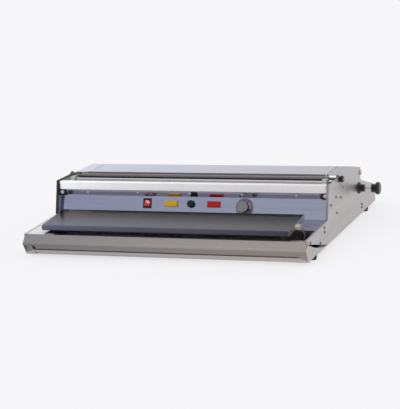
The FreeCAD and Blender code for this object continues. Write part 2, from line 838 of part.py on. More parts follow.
def cutter_bar():
    """Aluminium cutter bar in a white non-stick sleeve."""
    core = new_body("cutter_bar")
    section = new_sketch(core, "YZ_Plane")
    outline(section, [spot("bar_y + sleeve", BAR_LOW), spot("bar_y + bar_depth - sleeve", BAR_LOW),
                      spot("bar_y + bar_depth - sleeve", f"{BAR_TOP} - sleeve"),
                      spot("bar_y + sleeve", f"{BAR_TOP} - sleeve")])
    pad_both_ways(core, section, f"2 * {BAR_HALF}")
    sleeve = new_body("cutter_sleeve")
    section = new_sketch(sleeve, "YZ_Plane")
    outline(section, [
        spot("bar_y", BAR_LOW), spot("bar_y + sleeve", BAR_LOW),
        spot("bar_y + sleeve", f"{BAR_TOP} - sleeve"),
        spot("bar_y + bar_depth - sleeve", f"{BAR_TOP} - sleeve"),
        spot("bar_y + bar_depth - sleeve", BAR_LOW), spot("bar_y + bar_depth", BAR_LOW),
        spot("bar_y + bar_depth", BAR_TOP), spot("bar_y", BAR_TOP),
    ])
    pad_both_ways(sleeve, section, f"2 * {BAR_HALF}")
    crown = value(high(BAR_TOP))
    round_edges(sleeve, "bar_round", lambda edge: runs_along(edge, ALONG_X)
                and abs(edge.BoundBox.ZMax - crown) < NEAR)


def cutter_block(name, side):
    """Heat-proof block that holds one end of the cutter bar."""
    body = new_body(f"cutter_block_{name}")
    face = new_sketch(body, "XZ_Plane")
    inner = f"{side} * ({BAR_HALF} + seat_gap)"
    low = f"{BAR_LOW} - block_drop"
    outline(face, [
        (f"{side} * {INNER}", high(low)),
        (f"{side} * {INNER}", high(BAR_TOP)),
        (inner, high(BAR_TOP)),
        (inner, high(f"{BAR_LOW} - seat_gap")),
        (f"{side} * ({INNER} - block_width)", high(f"{BAR_LOW} - seat_gap")),
        (f"{side} * ({INNER} - block_width)", high(low)),
    ])
    pad(body, face, "bar_depth", reverse=True)
    place(body, "0", back("bar_y + block_set_back"))


def feed_roller():
    """Chromed feed roller on a through shaft, with a small knob at each end."""
    half = "(width / 2 - roller_end_gap)"
    roller = new_body("feed_roller")
    turned(roller, [("roller_shaft", f"-{half}"), ("roller_radius", f"-{half}"),
                    ("roller_radius", half), ("roller_shaft", half)])
    on_axis(roller, RIGHT, "0", "roller_y", ROLLER_H)
    reach = "(width / 2 + end_knob_length)"
    shaft = new_body("feed_roller_shaft")
    turned(shaft, [("0", f"-{reach}"), ("roller_shaft", f"-{reach}"), ("roller_shaft", reach),
                   ("0", reach)])
    on_axis(shaft, RIGHT, "0", "roller_y", ROLLER_H)
    for name, side in SIDES.items():
        knob = new_body(f"feed_knob_{name}")
        bevel = "end_knob_radius / 5"
        turned(knob, [("roller_shaft", "seat_gap"), (f"end_knob_radius - {bevel}", "seat_gap"),
                      ("end_knob_radius", f"seat_gap + {bevel}"),
                      ("end_knob_radius", f"end_knob_length - {bevel}"),
                      (f"end_knob_radius - {bevel}", "end_knob_length"),
                      ("roller_shaft", "end_knob_length")])
        on_axis(knob, side, "width / 2", "roller_y", ROLLER_H)


def roller_holder(name, side):
    """Slanted oblong plate inside the side plate that steadies the end of the feed roller."""
    body = new_body(f"roller_holder_{name}")
    half = "(holder_length - holder_width) / 2"
    sketch = new_sketch(body, "YZ_Plane")
    outline(sketch, [(f"-{half}", "-holder_width / 2"), (half, "-holder_width / 2"),
                     (half, "holder_width / 2"), (f"-{half}", "holder_width / 2")])
    circle(sketch, "0", "0", "roller_shaft + run_gap")
    pad(body, sketch, "holder_thick", reverse=side == RIGHT)
    for end in (f"-{half}", half):
        tip = new_sketch(body, "YZ_Plane")
        circle(tip, end, "0", "holder_width / 2")
        pad(body, tip, "holder_thick", reverse=side == RIGHT)
    place(body, f"{side} * {INNER}", back("roller_y"), high(ROLLER_H), ALONG_X, "-holder_slant")


def nip_roller():
    """Thin roller just behind the cutter bar, running in two bearing blocks."""
    half = "(width / 2 - nip_end_gap)"
    tip = f"({half} + nip_journal_length)"
    body = new_body("nip_roller")
    turned(body, [("0", f"-{tip}"), ("nip_journal", f"-{tip}"), ("nip_journal", f"-{half}"),
                  ("nip_radius", f"-{half}"), ("nip_radius", half), ("nip_journal", half),
                  ("nip_journal", tip), ("0", tip)])
    on_axis(body, RIGHT, "0", "nip_y", NIP_H)
    for name, side in SIDES.items():
        block = new_body(f"nip_bearing_{name}")
        face = new_sketch(block, "YZ_Plane")
        outline(face, [
            spot("nip_y - bearing_y / 2", COVER_TOP),
            spot("nip_y + bearing_y / 2", COVER_TOP),
            spot("nip_y + bearing_y / 2", NIP_H),
            spot("nip_y + bearing_y / 4", f"{NIP_H} + bearing_top"),
            spot("nip_y - bearing_y / 4", f"{NIP_H} + bearing_top"),
            spot("nip_y - bearing_y / 2", NIP_H),
        ])
        circle(face, *spot("nip_y", NIP_H), "nip_journal + run_gap")
        pad(block, face, "bearing_width", reverse=side == LEFT)
        place(block, f"{side} * ({half} + 1)")


LID_HALF = "(width / 2 - lid_side_gap)"


def film_lid():
    """Lid over the film bay, with a lip in front, a skirt behind and an ear at each hinge."""
    body = new_body("film_lid")
    section = new_sketch(body, "YZ_Plane")
    folded(section, [
        spot("lid_front_y", "top_h - lid_lip"),
        spot("lid_front_y", "top_h"),
        spot("ridge_y", "top_h"),
        spot("rear_top_y", REAR_TOP),
        spot("rear_top_y", f"{REAR_TOP} - lid_skirt"),
    ], -1)
    pad_both_ways(body, section, f"2 * {LID_HALF}")
    for side in (LEFT, RIGHT):
        ear = new_sketch(body, "YZ_Plane", f"{side} * {LID_HALF}")
        outline(ear, [spot(f"{HINGE_Y} - ear_radius", f"{HINGE_H} - ear_radius"),
                      spot("rear_top_y - gauge / 2", f"{HINGE_H} - ear_radius"),
                      spot("rear_top_y - gauge / 2", f"{REAR_TOP} - gauge"),
                      spot(f"{HINGE_Y} - ear_radius", f"{REAR_TOP} - gauge / 2")])
        circle(ear, *spot(HINGE_Y, HINGE_H), "hinge_pin + run_gap")
        pad(body, ear, "gauge", reverse=side == RIGHT)


def lid_strip():
    """Black rubber strip along the front lip of the lid."""
    body = new_body("lid_strip")
    section = new_sketch(body, "YZ_Plane")
    low, top = "top_h - lid_lip / 2", "top_h + lid_strip_rise"
    outline(section, [spot("lid_front_y - lid_strip", low), spot("lid_front_y", low),
                      spot("lid_front_y", top), spot("lid_front_y - lid_strip", top)])
    pad_both_ways(body, section, f"2 * {LID_HALF}")


def edge_trim():
    """Rubber trim along the brow and the top edge of the left side plate."""
    body = new_body("edge_trim_left")
    section = new_sketch(body, "YZ_Plane")
    folded(section, [spot("step_y", "step_h"), spot("brow_y", "top_h"), spot("trim_end_y", "top_h")], 1)
    pad(body, section, "trim_width")
    place(body, "-width / 2")


def lid_pin(name, side):
    """Domed hinge pin through the side plate and the ear of the lid."""
    body = new_body(f"lid_pin_{name}")
    turned(body, [
        ("0", "-lid_side_gap - 3 * gauge"), ("hinge_pin", "-lid_side_gap - 3 * gauge"), ("hinge_pin", "0"),
        ("hinge_head", "0"), ("hinge_head", "hinge_dome / 3"), ("hinge_head * 0.8", "hinge_dome * 0.75"),
        ("hinge_head * 0.4", "hinge_dome"), ("0", "hinge_dome"),
    ])
    on_axis(body, side, "width / 2", HINGE_Y, HINGE_H)


def lid_rest(name, side):
    """Angle strip under the flange of the side plate, on which the edge of the lid lies."""
    body = new_body(f"lid_rest_{name}")
    section = new_sketch(body, "XZ_Plane")
    top = "top_h - gauge"
    outline(section, [
        (f"{side} * {INNER}", high(top)),
        (f"{side} * (width / 2 - rest_reach)", high(top)),
        (f"{side} * (width / 2 - rest_reach)", high(f"{top} - gauge")),
        (f"{side} * ({INNER} - gauge)", high(f"{top} - gauge")),
        (f"{side} * ({INNER} - gauge)", high(f"{top} - rest_leg")),
        (f"{side} * {INNER}", high(f"{top} - rest_leg")),
    ])
    pad(body, section, "rest_length", reverse=True)
    place(body, "0", back("top_flange_y"))


def spindle_bush(name, side):
    """Flanged bush in the side plate."""
    body = new_body(f"spindle_bush_{name}")
    bore = "spindle_radius + run_gap"
    hub_end = "(bush_flange_thick + bush_hub_length)" if side == RIGHT else "bush_flange_thick"
    hub = [] if side == LEFT else [("bush_hub", "bush_flange_thick"), ("bush_hub", f"{hub_end} - gauge"),
                                   ("bush_hub - gauge", hub_end)]
    turned(body, [(bore, "-bush_length"), ("bush_radius", "-bush_length"), ("bush_radius", "0"),
                  ("bush_flange", "0"), ("bush_flange", "bush_flange_thick * 0.6"),
                  ("bush_flange * 0.9", "bush_flange_thick"), *hub, (bore, hub_end)])
    on_axis(body, side, "width / 2", "spindle_y", "spindle_h")


def core_cone(name, side):
    """Stepless cone that enters the cardboard core of the film roll."""
    body = new_body(f"core_cone_{name}")
    bore = "spindle_radius + run_gap"
    turned(body, [(bore, "-cone_length"), ("cone_small", "-cone_length"), ("cone_large", "-gauge"),
                  ("cone_large", "0"), (bore, "0")])
    on_axis(body, side, CONE_AT, "spindle_y", "spindle_h")


def spindle_shaft(name, side, outer):
    """Spindle with a collar on each side of the cone."""
    body = new_body(f"spindle_shaft_{name}")
    inner = f"({CONE_AT} - cone_length - seat_gap)"
    outer_seat = f"({CONE_AT} + seat_gap)"
    turned(body, [
        ("0", f"{inner} - collar_length"), ("collar_radius", f"{inner} - collar_length"),
        ("collar_radius", inner), ("spindle_radius", inner), ("spindle_radius", outer_seat),
        ("collar_radius", outer_seat), ("collar_radius", f"{outer_seat} + collar_length"),
        ("spindle_radius", f"{outer_seat} + collar_length"), ("spindle_radius", outer), ("0", outer),
    ])
    on_axis(body, side, "0", "spindle_y", "spindle_h")


KNOB_FOOT = "(width / 2 + knob_stand_off)"


def spindle_knob():
    """Stepped pull knob of the sliding core holder."""
    body = new_body("spindle_knob")
    shoulder = "knob_hub_length"
    end = "knob_hub_length + knob_length"
    bevel = "knob_length / 4"
    turned(body, [
        ("spindle_radius", "0"), ("knob_hub_radius", "0"), ("knob_hub_radius", f"{shoulder} - {bevel}"),
        (f"knob_radius - {bevel}", shoulder), ("knob_radius", f"{shoulder} + {bevel}"),
        ("knob_radius", f"{end} - {bevel}"), (f"knob_radius - {bevel}", end),
        ("0", end), ("0", f"{end} - 2 * gauge"), ("spindle_radius", f"{end} - 2 * gauge"),
    ])
    on_axis(body, RIGHT, KNOB_FOOT, "spindle_y", "spindle_h")


def spindle_nut():
    """Cap nut on the outer end of the fixed spindle."""
    body = new_body("spindle_nut")
    turned(body, [("spindle_radius", "bush_flange_thick"), ("knob_hub_radius", "bush_flange_thick"),
                  ("knob_hub_radius", "bush_flange_thick + knob_hub_length * 0.6"),
                  ("knob_hub_radius * 0.6", "bush_flange_thick + knob_hub_length"),
                  ("0", "bush_flange_thick + knob_hub_length"),
                  ("0", "bush_flange_thick + knob_hub_length - gauge"),
                  ("spindle_radius", "bush_flange_thick + knob_hub_length - gauge")])
    on_axis(body, LEFT, "width / 2", "spindle_y", "spindle_h")


def box_pad(body, across, up, start, length, reverse=False):
    """Centred box on the body's own XY plane."""
    sketch = new_sketch(body, "XY_Plane", start)
    outline(sketch, [(f"-({across}) / 2", f"-({up}) / 2"), (f"({across}) / 2", f"-({up}) / 2"),
                     (f"({across}) / 2", f"({up}) / 2"), (f"-({across}) / 2", f"({up}) / 2")])
    return pad(body, sketch, length, reverse)


def rocker_switch():
    """Rocker switch: a framed housing through the panel and the rocker in it."""
    body = new_body("rocker_housing")
    box_pad(body, "rocker_width", "rocker_height", "0", "rocker_frame")
    box_pad(body, "rocker_width - 2 * rocker_frame", "rocker_height - 2 * rocker_frame", "0",
            "rocker_body_depth", reverse=True)
    well = new_sketch(body, "XY_Plane", "rocker_frame")
    wide = "(rocker_width / 2 - rocker_frame - gauge / 2)"
    tall = "(rocker_height / 2 - rocker_frame - gauge / 2)"
    outline(well, [(f"-{wide}", f"-{tall}"), (wide, f"-{tall}"), (wide, tall), (f"-{wide}", tall)])
    hollow = body.newObject("PartDesign::Pocket", "rocker_well")
    hollow.Profile = well
    hollow.setExpression("Length", ex("rocker_frame + rocker_swing"))
    body.Tip = hollow
    on_panel(body, "rocker_x", "control_up")
    rocker = new_body("rocker")
    half = "(rocker_height / 2 - rocker_frame - rocker_clear)"
    face = new_sketch(rocker, "YZ_Plane")
    outline(face, [(f"-{half}", "0"), ("0", "-2 * gauge"), (half, "0"), (half, "rocker_frame / 2"),
                   ("0", "rocker_frame"), (f"-{half}", "rocker_frame * 2")])
    pad_both_ways(rocker, face, "rocker_width - 2 * rocker_frame - gauge - 2 * run_gap")
    on_panel(rocker, "rocker_x", "control_up")


def lamp(name, across):
    """Rectangular indicator lamp: lens over a body behind the panel."""
    body = new_body(f"{name}_lamp")
    box_pad(body, "lamp_width", "lamp_height", "0", "lamp_stand")
    round_edges(body, "lamp_stand / 3", lambda edge: edge.BoundBox.ZMin > value("lamp_stand") - NEAR)
    box_pad(body, "lamp_width - 2 * rocker_frame", "lamp_height - 2 * rocker_frame", "0",
            "lamp_body_depth", reverse=True)
    on_panel(body, across, "control_up")


def fuse():
    """Panel fuse holder with a screw cap."""
    holder = new_body("fuse_holder")
    turned(holder, [("0", "-fuse_body_depth"), ("fuse_neck", "-fuse_body_depth"), ("fuse_neck", "0"),
                    ("fuse_radius", "0"), ("fuse_radius", "rocker_frame"), ("0", "rocker_frame")])
    on_panel(holder, "fuse_x", "control_up")
    cap = new_body("fuse_cap")
    foot = "rocker_frame + run_gap"
    turned(cap, [("0", foot), ("fuse_radius * 0.85", foot), ("fuse_radius * 0.85", "fuse_stand - gauge"),
                 ("fuse_radius * 0.7", "fuse_stand"), ("0", "fuse_stand")])
    slot = new_sketch(cap, "XY_Plane", "fuse_stand")
    half = "(fuse_radius * 0.5)"
    outline(slot, [(f"-{half}", "-gauge / 2"), (half, "-gauge / 2"),
                   (half, "gauge / 2"), (f"-{half}", "gauge / 2")])
    cut = cap.newObject("PartDesign::Pocket", "fuse_cap_slot")
    cut.Profile = slot
    cut.setExpression("Length", ex("gauge"))
    cap.Tip = cut
    on_panel(cap, "fuse_x", "control_up")


def thermostat():
    """Thermostat behind the panel, its bezel and its turning dial knob."""
    body = new_body("thermostat")
    box_pad(body, "thermostat_size", "thermostat_size", "-gauge", "thermostat_depth", reverse=True)
    stem = new_sketch(body, "XY_Plane", "-gauge")
    circle(stem, "0", "0", "dial_stem - run_gap")
    pad(body, stem, "gauge + bezel_thick + dial_length / 2")
    on_panel(body, "dial_x", "dial_up")
    bezel = new_body("thermostat_bezel")
    hole = "dial_stem + seat_gap"
    turned(bezel, [(hole, "0"), ("bezel_radius", "0"), ("bezel_radius", "bezel_thick * 0.4"),
                   ("bezel_radius - bezel_thick * 0.6", "bezel_thick"), (hole, "bezel_thick")])
    on_panel(bezel, "dial_x", "dial_up")
    knob = new_body("thermostat_knob")
    foot = "bezel_thick + seat_gap"
    end = "bezel_thick + dial_length"
    socket = "bezel_thick + dial_length / 2 + seat_gap"
    turned(knob, [("dial_stem", foot), ("dial_radius * 1.25", foot),
                  ("dial_radius * 1.2", f"{foot} + gauge"), ("dial_radius", f"{foot} + 3 * gauge"),
                  ("dial_radius * 0.9", end), ("0", end), ("0", socket), ("dial_stem", socket)])
    on_panel(knob, "dial_x", "dial_up")


def collect(label, pieces):
    """One named sub-part made of several like solids."""
    item = doc.addObject("Part::Feature", label)
    item.Label = label
    item.Shape = Part.makeCompound(pieces)
    FINISHED.append(item)
    return item


def turned_solid(points):
    """Solid of revolution about Z from radius and height pairs."""
    places = [FreeCAD.Vector(radius, 0, height) for radius, height in points]
    face = Part.Face(Part.makePolygon(places + places[:1]))
    return face.revolve(FreeCAD.Vector(), ALONG_Z, FULL_TURN)


SCREW_SIZES = ("screw_head", "screw_crown", "screw_shank", "gauge")
FOOT_SIZES = ("foot_radius", "foot_taper", "foot_boss", "foot_height")


def screw():
    """Pan-head screw with a cross recess, its head standing on the XY plane."""
    head, crown, shank, grip = (value(text) for text in SCREW_SIZES)
    body = turned_solid([(0, -grip), (shank, -grip), (shank, 0), (head, 0), (head * 0.95, crown * 0.45),
                         (head * 0.7, crown * 0.85), (head * 0.3, crown), (0, crown)])
    for long, wide in ((head, head / 4), (head / 4, head)):
        body = body.cut(Part.makeBox(long, wide, crown, FreeCAD.Vector(-long / 2, -wide / 2, crown * 0.5)))
    return body


def set_out(shape, across, along, up, axis, angle):
    """Copy of a shape turned about an axis and moved to its place."""
    copy = shape.copy()
    copy.Placement = FreeCAD.Placement(FreeCAD.Vector(across, along, up), FreeCAD.Rotation(axis, angle))
    return copy


def screws():
    pattern = screw()
    for name, side in SIDES.items():
        pieces = [set_out(pattern, side * value("width / 2"), value(back(f"screw_{label}_y")),
                          value(high(f"screw_{label}_h")), ALONG_Y, 90 * side) for label in SIDE_SCREWS]
        collect(f"side_screws_{name}", pieces)
    lean = math.atan2(value("panel_top_y - visor_y"), value(f"{VISOR_TOP} - {PANEL_TOP}"))
    rise = value("visor_screw_up")
    along = value(back("panel_top_y")) - rise * math.sin(lean)
    up = value(high(PANEL_TOP)) + rise * math.cos(lean)
    pitch = value("visor_screw_pitch")
    head, crown = value("screw_head"), value("screw_crown")
    small = turned_solid([(0, 0), (head, 0), (head * 0.7, crown * 0.8), (head * 0.3, crown), (0, crown)])
    collect("visor_screws", [set_out(small, pitch * step, along, up, ALONG_X, 90 + math.degrees(lean))
                             for step in range(-2, 3)])
    head, crown = value("block_screw_head"), value("block_screw_crown")
    dome = turned_solid([(0, 0), (head, 0), (head * 0.8, crown * 0.7), (head * 0.4, crown), (0, crown)])
    across = value(f"{INNER} - block_width / 2")
    along = value(back("bar_y + block_set_back"))
    up = value(high(f"{BAR_LOW} - block_drop / 2"))
    collect("cutter_block_screws", [set_out(dome, side * across, along, up, ALONG_X, 90)
                                    for side in (LEFT, RIGHT)])


def rubber_feet():
    """Four tapered feet whose bosses reach the pan."""
    radius, taper, boss, tall = (value(text) for text in FOOT_SIZES)
    foot = turned_solid([(0, 0), (radius - taper, 0), (radius, tall), (boss, tall),
                         (boss, tall + value("gauge")), (0, tall + value("gauge"))])
    across = value("width / 2 - foot_x")
    collect("rubber_feet", [set_out(foot, side * across, value(back(row)), 0, ALONG_Z, 0)
                            for side in (LEFT, RIGHT) for row in ("front_foot_y", "depth - rear_foot_in")])


def cable_gland():
    """Empty cable gland in the left side plate."""
    body = new_body("cable_gland")
    neck = "gland_radius - gauge - seat_gap"
    turned(body, [("gland_bore", "-gland_stand"), (neck, "-gland_stand"), (neck, "0"),
                  ("gland_radius", "0"), ("gland_radius", "gland_stand / 2"),
                  ("gland_radius * 0.7", "gland_stand"), ("gland_bore", "gland_stand")])
    on_axis(body, LEFT, "width / 2", "gland_y", "gland_h")


def build():
    for name, side in SIDES.items():
        side_plate(name, side)
        plate_bracket(name, side)
        cutter_block(name, side)
        roller_holder(name, side)
        lid_pin(name, side)
        lid_rest(name, side)
        spindle_bush(name, side)
        core_cone(name, side)
    front_rail()
    base_pan()
    rear_rail()
    control_panel()
    tray_wall()
    electrics_cover()
    hot_plate()
    hot_plate_cloth()
    heater_mat()
    terminal()
    heater_leads()
    cutter_bar()
    feed_roller()
    nip_roller()
    film_lid()
    lid_strip()
    edge_trim()
    spindle_shaft("right", RIGHT, f"{KNOB_FOOT} + knob_hub_length")
    spindle_shaft("left", LEFT, "(width / 2 + bush_flange_thick + knob_hub_length / 2)")
    spindle_knob()
    spindle_nut()
    rocker_switch()
    lamp("yellow", "yellow_lamp_x")
    lamp("red", "red_lamp_x")
    fuse()
    thermostat()
    screws()
    rubber_feet()
    cable_gland()


def check():
    """Stop where anything failed to build."""
    for item in doc.Objects:
        if {"Invalid", "Error"} & set(item.State):
            raise ValueError(f"{item.Label} failed: {item.State}")
    for item in FINISHED:
        shape = item.Shape
        if shape.isNull() or not shape.isValid() or not shape.Solids:
            raise ValueError(f"{item.Label} has no valid shape")


build()
doc.recompute()
check()
os.makedirs("parts", exist_ok=True)
for item in FINISHED:
    item.Shape.exportStep(f"parts/{item.Label}.step")
    box = item.Shape.BoundBox
    print(f"{item.Label}: {len(item.Shape.Solids)} solid(s), x {box.XMin:.1f}..{box.XMax:.1f}, "
          f"y {box.YMin:.1f}..{box.YMax:.1f}, z {box.ZMin:.1f}..{box.ZMax:.1f}")
print(len(FINISHED), "sub-parts")
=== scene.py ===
# %% [markdown]
# A table-top film wrapper is a folded sheet-metal box: stainless sides and rails, a hot plate
# in a dark non-stick cloth, a white cutter bar, two steel rollers and a lid over the film bay.
# Its shape is settled by the solids, which this script loads and leaves where they are.
# What is left to do is the surface of each piece, some bare strips and print, the floor, the
# light and the camera.

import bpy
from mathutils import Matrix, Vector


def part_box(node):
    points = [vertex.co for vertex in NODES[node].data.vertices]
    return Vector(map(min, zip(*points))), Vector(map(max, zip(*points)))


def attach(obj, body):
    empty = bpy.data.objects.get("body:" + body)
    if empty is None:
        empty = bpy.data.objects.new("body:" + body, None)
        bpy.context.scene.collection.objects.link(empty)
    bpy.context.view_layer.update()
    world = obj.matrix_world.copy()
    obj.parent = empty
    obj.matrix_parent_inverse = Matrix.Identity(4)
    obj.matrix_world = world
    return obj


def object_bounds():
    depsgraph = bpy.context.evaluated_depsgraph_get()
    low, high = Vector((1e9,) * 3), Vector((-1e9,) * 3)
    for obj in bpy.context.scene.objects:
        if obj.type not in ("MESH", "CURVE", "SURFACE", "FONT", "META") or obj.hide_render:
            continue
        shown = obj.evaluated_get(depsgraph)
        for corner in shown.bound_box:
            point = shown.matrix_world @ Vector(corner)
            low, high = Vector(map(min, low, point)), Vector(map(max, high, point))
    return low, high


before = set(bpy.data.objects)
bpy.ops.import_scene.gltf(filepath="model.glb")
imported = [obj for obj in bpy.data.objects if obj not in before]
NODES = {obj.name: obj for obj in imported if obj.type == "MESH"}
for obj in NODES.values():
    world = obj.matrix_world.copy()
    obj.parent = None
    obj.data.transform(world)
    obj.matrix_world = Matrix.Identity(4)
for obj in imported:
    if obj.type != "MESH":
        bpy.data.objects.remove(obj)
CAD_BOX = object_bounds()

# %% [markdown]
# Every finish below is built from shader nodes, so it has no picture behind it and looks the
# same from any side. Colours are written as sRGB hex, the way a paint card gives them, and
# Blender computes in linear light, so one function converts them. Another adds a node, sets its
# values and joins its inputs, which keeps each material short to read.

# %% Helpers for colour and nodes
import math

import bmesh
import bpy
from mathutils import Matrix, Vector

MM = 0.001
# A noise texture seldom leaves this range, so it is the range that gets spread over a finish.
NOISE_LOW, NOISE_HIGH = 0.35, 0.65
# Samples of the node that rounds the normals along an edge.
EDGE_SAMPLES = 4
# A face looks squarely along an axis when its normal, one unit long, reaches the first value
# along it, and partly when it reaches the second.
SQUARELY, PARTLY = 0.7, 0.3


def linear(hex_colour):
    """Turns an sRGB hex colour into linear RGBA."""
    parts = [int(hex_colour[i:i + 2], 16) / 255 for i in (1, 3, 5)]
    return (*(p / 12.92 if p <= 0.04045 else ((p + 0.055) / 1.055) ** 2.4 for p in parts), 1)


def per_mm(*sizes):
    """Texture scale for a feature of one size in millimetres, or of three along X, Y and Z."""
    return tuple(1 / (size * MM) for size in (sizes if len(sizes) == 3 else sizes * 3))


def add(material, kind, settings=None, **inputs):
    """Adds a node. Settings are its own values, inputs are socket values or sockets to join."""
    tree = material.node_tree
    node = tree.nodes.new(kind)
    for key, value in (settings or {}).items():
        setattr(node, key, value)
    for key, value in inputs.items():
        socket = node.inputs[int(key[1:]) if key[0] == "i" and key[1:].isdigit() else key.replace("_", " ")]
        if isinstance(value, bpy.types.NodeSocket):
            tree.links.new(value, socket)
        else:
            socket.default_value = value
    return node


def fresh(name):
    """New material with an empty node tree."""
    material = bpy.data.materials.new(name)
    material.use_nodes = True
    material.node_tree.nodes.clear()
    return material


print("steel grey in linear light:", [round(part, 3) for part in linear("#B2B2B4")])

# %% [markdown]
# Long pieces aren't one tone from end to end, because each end mirrors another part of the room.
# A render could get that from a painted room alone, but the drift would then be gone under other
# light. So the drift is painted into the colour instead, as painted reflection on glossy pieces
# and painted light on matt ones: it slides along X, from the left end of the body to its right.

# %% Tone along the machine, and putting materials on

# The knobs stand past the body, so the body's half width is this share of the box's.
BODY_HALF = CAD_BOX[1][0] * 0.88


def across(material, left, right):
    """A colour that drifts from the machine's left end to its right end: painted reflection on glossy
    pieces, painted light on matt ones.
    """
    place = add(material, "ShaderNodeTexCoord")
    parts = add(material, "ShaderNodeSeparateXYZ", Vector=place.outputs["Object"])
    share = add(material, "ShaderNodeMapRange", i0=parts.outputs["X"], i1=-BODY_HALF, i2=BODY_HALF)
    tone = add(material, "ShaderNodeMix", {"data_type": "RGBA"}, i0=share.outputs["Result"],
               i6=linear(left), i7=linear(right))
    return tone.outputs[2]


def dress(material, *names):
    """Puts a material on CAD pieces."""
    for name in names:
        mesh = NODES[name].data
        mesh.materials.clear()
        mesh.materials.append(material)
        for face in mesh.polygons:
            face.material_index = 0


def dress_faces(material, name, chosen):
    """Gives a second finish to the faces of a piece that a test picks."""
    mesh = NODES[name].data
    mesh.materials.append(material)
    for face in mesh.polygons:
        if chosen(face.normal, face.center):
            face.material_index = len(mesh.materials) - 1


print("tones drift over", round(2 * BODY_HALF / MM), "mm")

# %% [markdown]
# Brushed stainless sheet is rolled steel rubbed with a belt, so fine parallel scratches catch
# the light across their length. It could be drawn with the shader's anisotropy, but that needs
# tangents on every face. Stretching a noise along the brushing direction is simpler, holds on
# any mesh, and gives both the streaks in the colour and the fine ridges in the bump. A second,
# broad noise bends the reflections a little, as thin sheet does between its folds.

# %% Brushed stainless steel

# Real scratches are about 0.1 mm apart; they are drawn 1.6 mm apart so that they show.
SCRATCH_MM = 1.6
SCRATCH_LENGTH_MM = 240
# The belt leaves wider bands too, each as wide as a dozen scratches.
BAND_MM = SCRATCH_MM * 12
RIDGE_DEPTH_MM = 0.08
RIDGE_STRENGTH = 0.12
SHEET_WAVE_MM = 90
SHEET_WAVE_DEPTH_MM = 1.5
# A press brake bends 1 mm sheet round about its own gauge.
BEND_MM = 1.2


def brushed_sheet(name, left, right, along, rough=(0.22, 0.36), streak=0.10, wave=0.25, metallic=1.0):
    """Stainless sheet brushed along one axis, with its tone at each end of the machine."""
    material = fresh(name)
    place = add(material, "ShaderNodeTexCoord")
    fine, broad = [SCRATCH_MM] * 3, [BAND_MM] * 3
    fine["XYZ".index(along)] = SCRATCH_LENGTH_MM
    broad["XYZ".index(along)] = SCRATCH_LENGTH_MM * 2
    patterns = []
    for sizes, detail, grit in ((fine, 6.0, 0.6), (broad, 3.0, 0.5), ([SHEET_WAVE_MM], 1.0, 0.5)):
        laid = add(material, "ShaderNodeMapping", Vector=place.outputs["Object"], Scale=per_mm(*sizes))
        patterns.append(add(material, "ShaderNodeTexNoise", Vector=laid.outputs["Vector"],
                            Scale=1.0, Detail=detail, Roughness=grit).outputs["Fac"])
    scratches, bands, waves = patterns

    streaks = add(material, "ShaderNodeMapRange", i0=scratches, i1=NOISE_LOW, i2=NOISE_HIGH,
                  i3=-streak, i4=streak)
    belt = add(material, "ShaderNodeMapRange", i0=bands, i1=NOISE_LOW, i2=NOISE_HIGH,
               i3=1 - streak, i4=1 + streak)
    shade = add(material, "ShaderNodeMath", {"operation": "ADD"},
                i0=streaks.outputs["Result"], i1=belt.outputs["Result"])
    tone = add(material, "ShaderNodeVectorMath", {"operation": "SCALE"},
               i0=across(material, left, right), Scale=shade.outputs["Value"])

    fold = add(material, "ShaderNodeBevel", {"samples": EDGE_SAMPLES}, Radius=BEND_MM * MM)
    ripple = add(material, "ShaderNodeBump", Strength=wave, Distance=SHEET_WAVE_DEPTH_MM * MM,
                 Height=waves, Normal=fold.outputs["Normal"])
    ridges = add(material, "ShaderNodeBump", Strength=RIDGE_STRENGTH, Distance=RIDGE_DEPTH_MM * MM,
                 Height=scratches, Normal=ripple.outputs["Normal"])
    dullness = add(material, "ShaderNodeMapRange", i0=scratches, i1=NOISE_LOW, i2=NOISE_HIGH,
                   i3=rough[0], i4=rough[1])
    shader = add(material, "ShaderNodeBsdfPrincipled", Base_Color=tone.outputs["Vector"], Metallic=metallic,
                 Roughness=dullness.outputs["Result"], Normal=ridges.outputs["Normal"])
    add(material, "ShaderNodeOutputMaterial", Surface=shader.outputs["BSDF"])
    return material


print("scratches", SCRATCH_MM, "by", SCRATCH_LENGTH_MM, "mm")

# %% [markdown]
# All the body is cut from one sheet, yet its parts read differently: the front rail is worn by
# hands and wrapped trays, the raked panel and its visor were polished, and the lid is a pale
# blue. One recipe gives them all, with other tones, another direction of brushing and more or
# less roughness. Faces are told apart by where they look and how high they lie, so a single
# folded piece can wear several finishes, some with painted shade and painted reflection in their tones.

# %% Sheets of the body

# The panel's crease and the foot of its visor, as heights above the floor.
CREASE_HIGH = 0.054
VISOR_LOW = 0.090
# The skirt below the front rail's recess starts at this height and runs down.
SKIRT_HIGH = 0.015
# A front face of the rail whose normal rises less than this lies under the ridge.
OVERHANG = 0.2

# Worn with handling: a warm grey with plain streaks.
rail_steel = brushed_sheet("stainless_brushed_rail", "#B2B2B4", "#D0C4BF", "X", streak=0.07)
# The recess and the skirt are darker copies of the rail's steel: painted shade, deepest in the recess under
# the ridge.
shaded_recess_steel = brushed_sheet("stainless_brushed_painted_shade", "#7E7D7C", "#988F8B", "X", streak=0.07)
skirt_steel = brushed_sheet("stainless_brushed_skirt", "#A8A6A8", "#BCB4B2", "X", streak=0.07)
side_steel = brushed_sheet("stainless_brushed_side", "#B4B0AE", "#B8B3B2", "Y", rough=(0.28, 0.42),
                           streak=0.06)
# Polished: the violet blue of the panel and visor is a painted reflection of the room; the visor mirrors the
# lamps.
panel_steel = brushed_sheet("stainless_polished_panel", "#B4BADA", "#BEC4DE", "X", rough=(0.08, 0.14),
                            streak=0.04, wave=0.12)
visor_steel = brushed_sheet("stainless_polished_visor", "#CCCAD8", "#CCCAD2", "X", rough=(0.05, 0.08),
                            streak=0.03, wave=0.06)
apron_steel = brushed_sheet("stainless_satin_apron", "#C4C2CA", "#C4C2CA", "X", rough=(0.26, 0.38),
                            streak=0.05)
